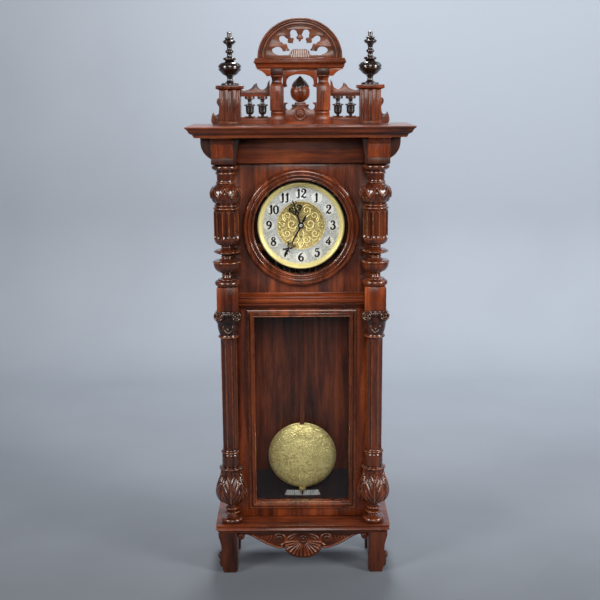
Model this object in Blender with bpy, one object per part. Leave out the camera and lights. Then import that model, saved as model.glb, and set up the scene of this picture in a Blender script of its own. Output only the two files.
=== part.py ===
"""A spring-driven pendulum wall clock with a glazed door, turned columns and a fretted crown.

Units are metres, +Z is up and the front faces -Y. The origin is at the bottom centre of the
clock's bounding box. A place called "out" is a distance in front of the back of the clock.
"""

import math

import bmesh
import bpy
from mathutils import Matrix, Vector

# Clearances
GAP = 0.0003  # between pieces that are glued or seated
DOOR_GAP = 0.0012  # all round the door
RUN = 0.0006  # between a turning arbor and its hole

# Dial
BEZEL_OUTER = 0.0920
BEZEL_WIDTH = 0.0105
BEZEL_THICK = 0.0105
DIAL_THICK = 0.0020
DIAL_OUT = 0.0700
WINDING_HOLE = 0.0036
SETTING_HOLE = 0.0024
SETTING_DROP = 0.028
HOUR_TURN = -18.0
MINUTE_TURN = 207.5

# Door
DOOR_THICK = 0.0195
RING_WIDTH = 0.0245
RING_OUT = 0.016
RING_TO_BEZEL = 0.0060
RING_TO_TOP = 0.0100
RING_TO_COLUMN = 0.0305
RING_TO_RAIL = 0.0146
COLUMN_INSET = 0.0020
COLUMN_STANDOFF = 0.022
BLOCK_WIDTH = 0.044
BLOCK_HEIGHT = 0.0505
BLOCK_RISE = 0.0055
MID_RAIL_HEIGHT = 0.0325
STILE = 0.0545
GLASS_BOTTOM_RAIL = 0.0335
GLASS_THICK = 0.003
REBATE = 0.006
SIGHT_MOULDING = 0.015
HINGE_RADIUS = 0.0030

# Case
CASE_DEPTH = 0.085
CASE_HEIGHT = 0.8257
BOARD = 0.012
BACKBOARD_THICK = 0.014
CORNICE_REACH = 0.072
CORNICE_DEPTH = 0.200
CORNICE_THICK = 0.0220
PLINTH_REACH = 0.0335
PLINTH_DEPTH = 0.157
PLINTH_THICK = 0.0190
FOOT_HEIGHT = 0.091
FOOT_DEPTH = 0.150
FOOT_INSET = 0.0115
FOOT_ARCH = 0.036
FRIEZE_HEIGHT = 0.054
FRIEZE_THICK = 0.0347
CORBEL_WIDTH = 0.0445
CORBEL_FLARE = 0.020
CORBEL_FOOT = 0.014
CORBEL_SETBACK = 0.040
APRON_THICK = 0.014
APRON_DROP = 0.061

# Movement and pendulum
PLATE_THICK = 0.0025
BACK_PLATE_OUT = 0.0440
PLATE_SPACE = 0.0160
BARREL_RADIUS = 0.021
CENTRE_WHEEL_RADIUS = 0.0200
WHEEL_CLEARANCE = 0.0043
ESCAPE_RADIUS = 0.016
ESCAPE_DROP = 0.026
ANCHOR_OUT = 0.0550
CRUTCH_LENGTH = 0.085
PENDULUM_OUT = 0.0340
SUSPENSION_RISE = 0.052
BOB_RADIUS = 0.0750
BOB_THICK = 0.028
BOB_TO_FLOOR = 0.0410
ROD_WIDTH = 0.010
ROD_THICK = 0.006
HOOK_STRIP = 0.100
ROD_HOOK_WIDTH = 0.006
TIP_LENGTH = 0.020
SEAT_THICK = 0.014
GONG_RADIUS = 0.045
GONG_TURNS = 3
GONG_OUT = 0.0200

# Crown
PEDESTAL_SIZE = 0.043
PEDESTAL_HEIGHT = 0.0795
PEDESTAL_INSET = 0.0105
FINIAL_HEIGHT = 0.1075
PILASTER_WIDTH = 0.0287
PILASTER_SPREAD = 0.0954
PILASTER_HEIGHT = 0.1120
PILASTER_THICK = 0.014
ENTABLATURE_WIDTH = 0.1888
ENTABLATURE_HEIGHT = 0.0212
LUNETTE_RISE = 0.0790
CROWN_OUT = 0.0800


def to_y(out):
    """The Y of a place that is this far in front of the clock's back."""
    return CORNICE_DEPTH / 2 - out


# Widths worked out from the dial
BEZEL_INNER = BEZEL_OUTER - BEZEL_WIDTH
RING_INNER = BEZEL_OUTER + RING_TO_BEZEL
RING_OUTER = RING_INNER + RING_WIDTH
COLUMN_X = RING_OUTER + RING_TO_COLUMN
CASE_WIDTH = 2 * (COLUMN_X + COLUMN_INSET)
CORNICE_WIDTH = CASE_WIDTH + 2 * CORNICE_REACH
PLINTH_WIDTH = CASE_WIDTH + 2 * PLINTH_REACH
SIGHT_HALF = CASE_WIDTH / 2 - STILE
CORBEL_INNER = COLUMN_X + BLOCK_WIDTH / 2 + 0.0045 - CORBEL_WIDTH
PEDESTAL_X = CASE_WIDTH / 2 - PEDESTAL_INSET
PILASTER_X = PILASTER_SPREAD / 2
WINDING_X = CENTRE_WHEEL_RADIUS + BARREL_RADIUS + WHEEL_CLEARANCE
PLATE_HALF = WINDING_X + BARREL_RADIUS + 0.0057

# Heights, from the feet up and then from the top of the door down
PLINTH_BOTTOM = FOOT_HEIGHT + GAP
PLINTH_TOP = PLINTH_BOTTOM + PLINTH_THICK
CASE_BOTTOM = PLINTH_TOP + GAP
CASE_TOP = CASE_BOTTOM + CASE_HEIGHT
CORNICE_BOTTOM = CASE_TOP + GAP
CORNICE_TOP = CORNICE_BOTTOM + CORNICE_THICK
FRIEZE_BOTTOM = CASE_TOP - FRIEZE_HEIGHT
DOOR_BOTTOM = PLINTH_TOP + DOOR_GAP
DOOR_TOP = FRIEZE_BOTTOM - DOOR_GAP
DIAL_Z = DOOR_TOP - RING_TO_TOP - RING_OUTER
RAIL_TOP = DIAL_Z - RING_OUTER - RING_TO_RAIL
BLOCK_BOTTOM = RAIL_TOP - MID_RAIL_HEIGHT
BLOCK_TOP = BLOCK_BOTTOM + BLOCK_HEIGHT
GLASS_BOTTOM = DOOR_BOTTOM + GLASS_BOTTOM_RAIL
GLASS_TOP = BLOCK_BOTTOM - BLOCK_RISE - SIGHT_MOULDING
SUSPENSION_Z = DIAL_Z + SUSPENSION_RISE
PLATE_TOP = SUSPENSION_Z + 0.012
PLATE_BOTTOM = DIAL_Z - BARREL_RADIUS - 0.019
GONG_Z = PLATE_BOTTOM - SEAT_THICK - GONG_RADIUS - 0.004
BOB_Z = CASE_BOTTOM + BOB_TO_FLOOR + BOB_RADIUS
PILASTER_TOP = CORNICE_TOP + GAP + PILASTER_HEIGHT
ENTABLATURE_TOP = PILASTER_TOP + GAP + ENTABLATURE_HEIGHT

# Depths and the joints' axes
BACK = to_y(0)
DOOR_BACK = CASE_DEPTH + GAP
DOOR_FRONT = DOOR_BACK + DOOR_THICK
COLUMN_OUT = DOOR_FRONT + COLUMN_STANDOFF
FRIEZE_OUT = DOOR_BACK + FRIEZE_THICK
CORBEL_OUT = CORNICE_DEPTH - CORBEL_SETBACK
FRONT_PLATE_OUT = BACK_PLATE_OUT + PLATE_THICK + PLATE_SPACE
DOOR_PIVOT = (CASE_WIDTH / 2 + 2 * GAP + HINGE_RADIUS, to_y(DOOR_BACK + 0.001), 0)
HOOK_Z = GLASS_TOP - 0.050
HOOK_OUT = CASE_DEPTH - 0.020
HAMMER_X = -GONG_RADIUS - 0.0095
HAMMER_Z = PLATE_BOTTOM + 0.012

ROUND = 40  # sides of a round moulding
TURNING = 14  # sides of an upright turning
SIDES = {"left": -1, "right": 1}

# Turned profiles, each as (height, radius) in millimetres from the foot of the turning
UPPER_PROFILE = [(0, 22), (3, 26), (9, 26.4), (14, 23), (20, 9.5), (26, 12), (47, 28), (51, 30)]
UPPER_PROFILE += [(54, 27), (57, 13), (66, 14), (69, 27), (73, 27), (77, 14), (84, 12.5), (91, 22)]
UPPER_PROFILE += [(102, 26.2), (160, 26.2), (162, 27.6), (167, 27.6), (171, 22), (183, 29), (194, 30.8)]
UPPER_PROFILE += [(205, 28.5), (215, 19), (221, 19), (224, 21.6), (228, 17), (233, 17), (237, 28.8)]
UPPER_PROFILE += [(249, 28.8), (252, 24)]
LOWER_PROFILE = [(0, 22), (3, 23.8), (10, 23.8), (14, 10), (19, 10), (22, 18), (26, 11), (30, 15)]
LOWER_PROFILE += [(35, 11), (43, 14), (55, 27), (65, 31.7), (76, 30), (95, 24), (118, 19.5)]
LOWER_PROFILE += [(122, 25.8), (127, 19.2), (154, 19.2), (156, 21.7), (162, 21.7), (165, 16.2)]
LOWER_PROFILE += [(408, 17.3), (410, 23), (415, 23), (417, 20.3), (440, 24.5), (448, 28), (462, 28.8)]
LOWER_PROFILE += [(470, 27)]
FINIAL_PROFILE = [(0, 18.4), (3, 18.4), (6, 8.5), (15, 6.5), (20, 12), (28, 22.5), (33, 24.4)]
FINIAL_PROFILE += [(34, 22.5), (36, 24), (43, 20), (49, 8), (50, 13.4), (54, 13), (58, 5.5), (64, 8.2)]
FINIAL_PROFILE += [(69, 8), (74, 6), (80, 13), (84, 14), (89, 9), (92, 9), (94, 5), (102, 4.8)]
FINIAL_PROFILE += [(107.5, 1.5)]
SPINDLE_PROFILE = [(0, 6), (3, 6), (5, 3), (9, 5.5), (17, 6.5), (24, 7.5), (26, 4), (31, 3.5)]
SPINDLE_PROFILE += [(34, 6.5), (37, 6.5)]
BUD_PROFILE = [(0, 5), (5, 5.2), (9, 3.2), (12, 5), (17, 14), (27, 19.5), (34, 20), (44, 15)]
BUD_PROFILE += [(56, 6), (64, 0.6)]
TIP_PROFILE = [(0, 0.3), (4, 2.0), (26, 2.0)]


# ---------------------------------------------------------------- building tools


def clear_scene():
    """Remove everything that the scene starts with."""
    for item in list(bpy.data.objects):
        bpy.data.objects.remove(item)


def material(name, colour, roughness, metallic=0.0):
    """A plain Principled finish."""
    made = bpy.data.materials.new(name)
    made.use_nodes = True
    shader = made.node_tree.nodes["Principled BSDF"]
    shader.inputs["Base Color"].default_value = (*colour, 1.0)
    shader.inputs["Roughness"].default_value = roughness
    shader.inputs["Metallic"].default_value = metallic
    return made


def add_object(name, shape, finish, pivot=(0, 0, 0), helper=False):
    """Turn a bmesh in world coordinates into an object whose origin is at the pivot."""
    bmesh.ops.recalc_face_normals(shape, faces=shape.faces)
    mesh = bpy.data.meshes.new(name)
    shape.to_mesh(mesh)
    shape.free()
    mesh.transform(Matrix.Translation(-Vector(pivot)))
    mesh.materials.append(finish)
    mesh.shade_smooth()
    mesh.set_sharp_from_angle(angle=math.radians(35))
    made = bpy.data.objects.new(name, mesh)
    made.location = pivot
    bpy.context.scene.collection.objects.link(made)
    if helper:
        made.hide_render = True
        made.display_type = "WIRE"
    return made


def combine(target, tool, operation):
    """Cut the tool from the target, or join it on, and keep the tool as a hidden helper."""
    tool.hide_render = True
    tool.display_type = "WIRE"
    change = target.modifiers.new(operation.title(), "BOOLEAN")
    change.operation = operation
    change.solver = "EXACT"
    change.object = tool


def box_shape(x, z, out):
    """A box between two places on each axis."""
    shape = bmesh.new()
    bmesh.ops.create_cube(shape, size=1)
    size = Vector((x[1] - x[0], out[1] - out[0], z[1] - z[0]))
    centre = Vector(((x[0] + x[1]) / 2, to_y((out[0] + out[1]) / 2), (z[0] + z[1]) / 2))
    bmesh.ops.scale(shape, vec=size, verts=shape.verts)
    bmesh.ops.translate(shape, vec=centre, verts=shape.verts)
    return shape


def box(name, x, z, out, finish, **options):
    """A plain board or block."""
    return add_object(name, box_shape(x, z, out), finish, **options)


def stacked(name, levels, finish):
    """A block lofted up through rectangles, each given as (z, low x, high x, low out, high out)."""
    shape = bmesh.new()
    loops = []
    for z, low_x, high_x, low_out, high_out in levels:
        corners = ((low_x, low_out), (high_x, low_out), (high_x, high_out), (low_x, high_out))
        loops.append([shape.verts.new((x, to_y(out), z)) for x, out in corners])
    for lower, upper in zip(loops, loops[1:]):
        for corner in range(4):
            after = (corner + 1) % 4
            shape.faces.new((lower[corner], lower[after], upper[after], upper[corner]))
    shape.faces.new(loops[0])
    shape.faces.new(loops[-1])
    return add_object(name, shape, finish)


def stepped_out(levels):
    """A block lofted outwards through rectangles, each given as (out, half width, low z, high z)."""
    shape = bmesh.new()
    loops = []
    for out, half, low, high in levels:
        corners = ((-half, low), (half, low), (half, high), (-half, high))
        loops.append([shape.verts.new((x, to_y(out), z)) for x, z in corners])
    for near, far in zip(loops, loops[1:]):
        for corner in range(4):
            after = (corner + 1) % 4
            shape.faces.new((near[corner], near[after], far[after], far[corner]))
    shape.faces.new(loops[0])
    shape.faces.new(loops[-1])
    return shape


def spun_shape(profile, centre, axis, steps, closed=False):
    """Spin a profile of (radius, height along the axis) about an axis through the centre."""
    shape = bmesh.new()
    centre = Vector(centre)
    axis = Vector(axis)
    points = [centre + Vector((radius, 0, 0)) + axis * height for radius, height in profile]
    verts = [shape.verts.new(point) for point in points]
    edges = [shape.edges.new(pair) for pair in zip(verts, verts[1:])]
    if closed:
        edges.append(shape.edges.new((verts[-1], verts[0])))
    bmesh.ops.spin(
        shape,
        geom=verts + edges,
        cent=centre,
        axis=axis,
        angle=2 * math.pi,
        steps=steps,
        use_merge=True,
    )
    bmesh.ops.remove_doubles(shape, verts=shape.verts, dist=1e-6)
    return shape


def turned_up(profile, x, out, low, high, steps=TURNING):
    """An upright turning whose profile of (height, radius) in millimetres fills low to high."""
    stretch = (high - low) / profile[-1][0]
    points = [(0, low)]
    points += [(radius / 1000, low + height * stretch) for height, radius in profile]
    points.append((0, high))
    return spun_shape(points, (x, to_y(out), 0), (0, 0, 1), steps)


def turned_out(profile, x, z, steps=ROUND, closed=False):
    """A turning about an axis that runs out of the clock, from (radius, out) points."""
    return spun_shape(profile, (x, BACK, z), (0, -1, 0), steps, closed)


def disc(radius, x, z, out, steps=ROUND):
    """A round plate or arbor between two places out."""
    profile = [(0, out[0]), (radius, out[0]), (radius, out[1]), (0, out[1])]
    return turned_out(profile, x, z, steps)


def ring(inner, outer, x, z, out, steps=ROUND):
    """A flat ring between two places out."""
    profile = [(inner, out[0]), (outer, out[0]), (outer, out[1]), (inner, out[1])]
    return turned_out(profile, x, z, steps, closed=True)


def plate(outline, out):
    """A flat plate with an outline of (x, z) points."""
    shape = bmesh.new()
    face = shape.faces.new([shape.verts.new((x, to_y(out[0]), z)) for x, z in outline])
    pushed = bmesh.ops.extrude_face_region(shape, geom=[face])
    moved = [item for item in pushed["geom"] if isinstance(item, bmesh.types.BMVert)]
    bmesh.ops.translate(shape, vec=(0, out[0] - out[1], 0), verts=moved)
    return shape


def arc(centre, radius, start, end, steps):
    """Points along an arc, with its angles in degrees."""
    angles = [math.radians(start + (end - start) * step / steps) for step in range(steps + 1)]
    return [
        (centre[0] + radius * math.cos(angle), centre[1] + radius * math.sin(angle))
        for angle in angles
    ]


def mirrored(half):
    """An outline closed by repeating its right half on the left."""
    return half + [(-x, z) for x, z in reversed(half) if x > 1e-6]


def strip(path, width, out):
    """A flat strip of even width along a path of (x, z) points."""
    sides = ([], [])
    for index, point in enumerate(path):
        before = path[max(index - 1, 0)]
        after = path[min(index + 1, len(path) - 1)]
        along = Vector((after[0] - before[0], after[1] - before[1])).normalized()
        across = Vector((-along.y, along.x)) * (width / 2)
        sides[0].append((point[0] + across.x, point[1] + across.y))
        sides[1].append((point[0] - across.x, point[1] - across.y))
    return plate(sides[0] + sides[1][::-1], out)


def toothed(radius, depth, teeth):
    """The outline of a toothed wheel about (0, 0)."""
    outline = []
    for tooth in range(teeth):
        for reach, share in ((radius - depth, 0.0), (radius, 0.35), (radius, 0.55)):
            angle = 2 * math.pi * (tooth + share) / teeth
            outline.append((reach * math.cos(angle), reach * math.sin(angle)))
    return outline


def place(outline, x, z, turn=0.0, side=1):
    """Turn an outline clockwise by degrees, flip it if the side is -1, and move it."""
    angle = math.radians(turn)
    placed = []
    for across, up in outline:
        across *= side
        placed.append(
            (
                x + across * math.cos(angle) + up * math.sin(angle),
                z - across * math.sin(angle) + up * math.cos(angle),
            )
        )
    return placed


# ---------------------------------------------------------------- case


def make_backboard(wood):
    """The back of the case, with a shallow pocket for the wall hanger."""
    half = CASE_WIDTH / 2
    back = box("backboard", (-half, half), (CASE_BOTTOM, CASE_TOP), (0, BACKBOARD_THICK), wood)
    pocket = box(
        "hanger_pocket",
        (-0.031, 0.031),
        (CASE_TOP - 0.071, CASE_TOP - 0.029),
        (-0.001, 0.0036),
        wood,
        helper=True,
    )
    combine(back, pocket, "DIFFERENCE")


def make_hanger(brass):
    """The brass plate let into the back, with the hole that goes over the wall hook."""
    middle = CASE_TOP - 0.050
    hanger = box("wall_hanger", (-0.030, 0.030), (middle - 0.020, middle + 0.020), (0.0003, 0.0033), brass)
    hole = add_object("hanger_hole", disc(0.007, 0, middle, (-0.001, 0.005), 16), brass, helper=True)
    combine(hanger, hole, "DIFFERENCE")


def make_sides(wood):
    """The two side boards between the backboard and the door."""
    for name, side in SIDES.items():
        outer = side * CASE_WIDTH / 2
        inner = outer - side * BOARD
        x = (min(outer, inner), max(outer, inner))
        box(f"side_{name}", x, (CASE_BOTTOM, CASE_TOP), (BACKBOARD_THICK + GAP, CASE_DEPTH), wood)


def make_plinth(wood):
    """The moulded board that the case stands on, with a cove under its edge."""
    half = PLINTH_WIDTH / 2
    cove = 0.008
    levels = [(PLINTH_BOTTOM, cove), (PLINTH_BOTTOM + 0.004, cove), (PLINTH_BOTTOM + 0.0075, 0.006)]
    levels += [(PLINTH_BOTTOM + 0.0095, 0.002), (PLINTH_BOTTOM + 0.0105, 0.0)]
    levels += [(PLINTH_TOP - 0.0015, 0.0), (PLINTH_TOP, 0.0015)]
    stacked(
        "plinth",
        [(z, inset - half, half - inset, 0, PLINTH_DEPTH - inset) for z, inset in levels],
        wood,
    )


def make_cornice(wood):
    """The top moulding: a fillet, an ovolo and a flat band under the top."""
    half = CORNICE_WIDTH / 2
    levels = [(0.0, 0.0150), (0.0030, 0.0150), (0.0035, 0.0140)]
    for step in range(1, 5):
        angle = math.radians(90 * step / 4)
        levels.append((0.0035 + 0.0085 * math.sin(angle), 0.0045 + 0.0095 * math.cos(angle)))
    levels += [(0.0135, 0.0045), (0.0140, 0.0015), (0.0155, 0.0), (CORNICE_THICK - 0.001, 0.0)]
    levels.append((CORNICE_THICK, 0.001))
    stacked(
        "cornice",
        [
            (CORNICE_BOTTOM + rise, inset - half, half - inset, 0, CORNICE_DEPTH - inset)
            for rise, inset in levels
        ],
        wood,
    )


def make_frieze(wood):
    """The board between the corbels, above the door."""
    half = CORBEL_INNER - GAP
    box("frieze", (-half, half), (FRIEZE_BOTTOM, CASE_TOP), (DOOR_BACK, FRIEZE_OUT), wood)


def make_corbels(wood):
    """The corbels under the cornice, rounded out to the sides and the front."""
    inner = CORBEL_INNER
    outer = inner + CORBEL_WIDTH
    foot_top = FRIEZE_BOTTOM + CORBEL_FOOT
    rise = CASE_TOP - foot_top
    levels = [(FRIEZE_BOTTOM, outer - 0.0005, CORBEL_OUT - 0.002)]
    levels += [(foot_top - 0.001, outer + 0.001, CORBEL_OUT), (foot_top, outer, CORBEL_OUT - 0.001)]
    for step in range(0, 7):
        angle = math.radians(90 * step / 6)
        flare = CORBEL_FLARE * math.sin(angle)
        z = foot_top + 0.0005 + (rise - 0.0005) * (1 - math.cos(angle))
        levels.append((z, outer + flare, CORBEL_OUT + 1.2 * flare))
    for name, side in SIDES.items():
        placed = []
        for z, reach, out in levels:
            x = sorted((side * inner, side * reach))
            placed.append((z, x[0], x[1], DOOR_BACK, out))
        stacked(f"corbel_{name}", placed, wood)


def foot_outline():
    """Front view of the right foot: a tapering post with two scrolls on its outer edge."""
    inner = PLINTH_WIDTH / 2 - FOOT_INSET - 0.0350
    outer = PLINTH_WIDTH / 2 - FOOT_INSET
    post = [(inner + 0.0085, 0.0), (outer - 0.0055, 0.0), (outer - 0.004, 0.008)]
    lower_scroll = arc((outer - 0.003, 0.0150), 0.0065, -70, 70, 4)
    upper_scroll = arc((outer + 0.000, 0.0320), 0.0085, -80, 80, 5)
    top = [(outer - 0.001, 0.0480), (outer, 0.0700), (outer, FOOT_HEIGHT), (inner, FOOT_HEIGHT)]
    return post + lower_scroll + upper_scroll + top + [(inner, 0.062), (inner + 0.006, 0.046)]


def make_feet(wood):
    """The two deep bracket feet, each arched from front to back."""
    for name, side in SIDES.items():
        outline = place(foot_outline(), 0, 0, side=side)
        foot = add_object(f"foot_{name}", plate(outline, (0, FOOT_DEPTH)), wood)
        length = 2 * FOOT_ARCH
        profile = [(0, -length), (FOOT_ARCH, -length), (FOOT_ARCH, length), (0, length)]
        shape = spun_shape(profile, (0, 0, 0), (0, 0, 1), 24)
        bmesh.ops.rotate(
            shape,
            cent=(0, 0, 0),
            matrix=Matrix.Rotation(math.pi / 2, 3, "Y"),
            verts=shape.verts,
        )
        bmesh.ops.translate(
            shape,
            vec=(side * PLINTH_WIDTH / 2, to_y(FOOT_DEPTH / 2), -0.001),
            verts=shape.verts,
        )
        combine(foot, add_object(f"foot_arch_{name}", shape, wood, helper=True), "DIFFERENCE")


def make_apron(wood):
    """The carved board between the feet, with a shell in the middle and a scroll on each side."""
    edge = PLINTH_WIDTH / 2 - FOOT_INSET - 0.035 - GAP
    low = FOOT_HEIGHT - APRON_DROP
    half = [(0, low), (0.016, low + 0.003), (0.028, low + 0.013), (0.033, low + 0.024)]
    half += [(0.036, low + 0.029), (0.049, low + 0.026), (0.066, low + 0.031), (0.096, low + 0.047)]
    half += [(0.108, low + 0.052)]
    half += arc((0.1235, low + 0.0475), 0.0098, 190, 350, 6)
    half += [(edge, low + 0.0525), (edge, FOOT_HEIGHT), (0, FOOT_HEIGHT)]
    out = (FOOT_DEPTH - 0.002 - APRON_THICK, FOOT_DEPTH - 0.002)
    add_object("apron", plate(mirrored(half), out), wood)


# ---------------------------------------------------------------- crown


def make_pedestals(wood, black):
    """The square pedestals at the ends of the crown, and the finials on them."""
    base = CORNICE_TOP + GAP
    half = PEDESTAL_SIZE / 2
    cap = half + 0.0065
    shape = [(0, half), (PEDESTAL_HEIGHT - 0.0105, half), (PEDESTAL_HEIGHT - 0.0085, cap - 0.002)]
    shape += [(PEDESTAL_HEIGHT - 0.0080, cap), (PEDESTAL_HEIGHT, cap)]
    middle = CROWN_OUT - half
    for name, side in SIDES.items():
        x = side * PEDESTAL_X
        levels = [(base + rise, x - wide, x + wide, middle - wide, middle + wide) for rise, wide in shape]
        stacked(f"pedestal_{name}", levels, wood)
        low = base + PEDESTAL_HEIGHT + GAP
        finial = turned_up(FINIAL_PROFILE, x, middle, low, low + FINIAL_HEIGHT)
        add_object(f"finial_{name}", finial, black)


def gallery_rail_outline(inner, outer, low):
    """The fretted top rail of the gallery, rising to a curl next to the pilaster."""
    span = outer - inner
    curl = [(inner, low + 0.004), (inner, low + 0.0235)]
    curl += arc((inner + 0.0115, low + 0.0245), 0.0085, 200, 330, 4)
    crest = [(inner + 0.0200, low + 0.0290), (inner + 0.0235, low + 0.0285)]
    fall = [(inner + 0.62 * span, low + 0.0165), (outer, low + 0.0125), (outer, low)]
    return curl + crest + fall + [(inner + 0.30 * span, low)]


def make_galleries(wood):
    """The low galleries: a base rail, two turned spindles and a fretted top rail, in one assembly."""
    inner = PILASTER_X + PILASTER_WIDTH / 2 + GAP
    outer = PEDESTAL_X - PEDESTAL_SIZE / 2 - GAP
    base = CORNICE_TOP + GAP
    rail_top = base + 0.0135
    top_low = base + 0.0530
    middle = CROWN_OUT - PILASTER_THICK / 2 - 0.002
    out = (middle - 0.005, middle + 0.005)
    for name, side in SIDES.items():
        x = sorted((side * inner, side * outer))
        gallery = box(f"gallery_{name}", x, (base, rail_top), (middle - 0.006, middle + 0.006), wood)
        outline = place(gallery_rail_outline(inner, outer, top_low), 0, 0, side=side)
        rail = add_object(f"gallery_top_{name}", plate(outline, out), wood, helper=True)
        combine(gallery, rail, "UNION")
        for number, share in enumerate((0.27, 0.72)):
            spindle_x = side * (inner + share * (outer - inner))
            low, high = rail_top - 0.002, top_low + 0.003
            turning = turned_up(SPINDLE_PROFILE, spindle_x, middle, low, high, 10)
            spindle = add_object(f"spindle_{name}_{number}", turning, wood, helper=True)
            combine(gallery, spindle, "UNION")


def make_pilasters(wood):
    """The two flat pilasters of the crown, each with a rounded band near its top and its foot."""
    base = CORNICE_TOP + GAP
    half = PILASTER_WIDTH / 2
    inside = half - 0.0015
    height = PILASTER_HEIGHT
    face = CROWN_OUT
    shape = [(0, half, 0.0), (0.0200, half, 0.0), (0.0215, inside, -0.002), (0.0300, inside, -0.002)]
    shape += [(0.0315, half - 0.0005, 0.0), (height - 0.0350, half - 0.0005, 0.0)]
    shape += [(height - 0.0335, half, 0.002)]
    shape += [(height - 0.0290, half, 0.0040), (height - 0.0245, half, 0.002)]
    shape += [(height - 0.0230, inside, -0.003), (height - 0.0170, inside, -0.003)]
    shape += [(height - 0.0155, half, 0.0), (height, half, 0.002)]
    for name, side in SIDES.items():
        x = side * PILASTER_X
        levels = [
            (base + rise, x - wide, x + wide, face - PILASTER_THICK, face + proud)
            for rise, wide, proud in shape
        ]
        stacked(f"pilaster_{name}", levels, wood)


def make_crown_panel(wood):
    """The fretted panel between the pilasters, with an arched opening round the carved bud."""
    half = PILASTER_X - PILASTER_WIDTH / 2 - GAP
    base = CORNICE_TOP + GAP
    top = PILASTER_TOP
    out = (CROWN_OUT - PILASTER_THICK, CROWN_OUT - 0.004)
    outline = [(half, base), (half, top), (0, top)]
    panel = add_object("crown_panel", plate(mirrored([(0, base)] + outline), out), wood)
    arch_z = top - 0.0400
    opening = [(0, base + 0.0335), (0.0105, base + 0.0330), (0.0180, base + 0.0335)]
    opening += [(0.0200, base + 0.0400), (half - 0.0060, base + 0.0430), (half - 0.0060, arch_z - 0.007)]
    opening += arc((0.0, arch_z), 0.0265, -8, 90, 8)
    cutter = add_object(
        "crown_opening",
        plate(mirrored(opening), (out[0] - 0.002, out[1] + 0.002)),
        wood,
        helper=True,
    )
    combine(panel, cutter, "DIFFERENCE")


def make_bud(wood):
    """The carved bud that stands in the opening of the crown's panel, on a stem."""
    base = CORNICE_TOP + GAP + 0.0335 + GAP
    middle = CROWN_OUT - PILASTER_THICK / 2 - 0.002
    add_object("crown_bud", turned_up(BUD_PROFILE, 0, middle, base, base + 0.0640), wood)


def make_entablature(wood):
    """The bar across the pilasters, flared out from them and rounded at its ends."""
    neck = PILASTER_X + PILASTER_WIDTH / 2
    half = ENTABLATURE_WIDTH / 2
    base = PILASTER_TOP + GAP
    levels = [(0, neck + 0.012, 0.004), (0.0030, neck + 0.0165, 0.006), (0.0045, half - 0.006, 0.009)]
    levels += [(0.0080, half - 0.0015, 0.012), (0.0120, half, 0.0130), (0.0160, half - 0.001, 0.0120)]
    levels += [(0.0175, half - 0.003, 0.010), (ENTABLATURE_HEIGHT, half - 0.0035, 0.0095)]
    back = CROWN_OUT - PILASTER_THICK
    stacked(
        "entablature",
        [(base + rise, -reach, reach, back, CROWN_OUT + proud) for rise, reach, proud in levels],
        wood,
    )


def teardrop(x, z, radius, turn, length):
    """A keyhole or teardrop opening, with its round end down before it is turned."""
    return place(arc((0, 0), radius, 150, 390, 8) + [(0, length)], x, z, turn)


def make_lunette(wood):
    """The arched top of the crown: a moulded hoop filled with pierced fretwork."""
    half = ENTABLATURE_WIDTH / 2 - 0.0079
    radius = (half**2 + LUNETTE_RISE**2) / (2 * LUNETTE_RISE)
    low = ENTABLATURE_TOP + GAP
    centre_z = low + LUNETTE_RISE - radius
    start = math.degrees(math.asin((low - centre_z) / radius))
    outline = arc((0, centre_z), radius, start, 180 - start, 32)
    lunette = add_object("lunette", plate(outline, (CROWN_OUT - 0.012, CROWN_OUT + 0.004)), wood)
    fan_z = low + 0.012
    for number in range(6):
        turn = -75 + 30 * number
        reach = 0.0440 if number in (1, 2, 3, 4) else 0.0500
        angle = math.radians(turn)
        x, z = reach * math.sin(angle), fan_z + reach * math.cos(angle)
        cut = teardrop(x, z, 0.0068, turn + 180, 0.020)
        cutter = add_object(f"fret_{number}", plate(cut, (0.0, CORNICE_DEPTH)), wood, helper=True)
        combine(lunette, cutter, "DIFFERENCE")


def make_scroll_brackets(wood):
    """The small scrolls on the outer sides of the pedestals."""
    base = CORNICE_TOP + GAP
    inner = PEDESTAL_X + PEDESTAL_SIZE / 2 + GAP
    outline = [(inner, base), (inner + 0.0170, base), (inner + 0.0185, base + 0.010)]
    outline += [(inner + 0.0165, base + 0.0230), (inner + 0.0120, base + 0.0150)]
    outline += [(inner + 0.0060, base + 0.0205)]
    outline += [(inner + 0.0040, base + 0.0350)]
    outline += arc((inner + 0.0010, base + 0.0450), 0.0050, -50, 60, 4)
    outline += [(inner, base + 0.0540)]
    middle = CROWN_OUT - PEDESTAL_SIZE / 2
    for name, side in SIDES.items():
        placed = place(outline, 0, 0, side=side)
        add_object(f"scroll_bracket_{name}", plate(placed, (middle - 0.005, middle + 0.005)), wood)


# ---------------------------------------------------------------- door


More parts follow.
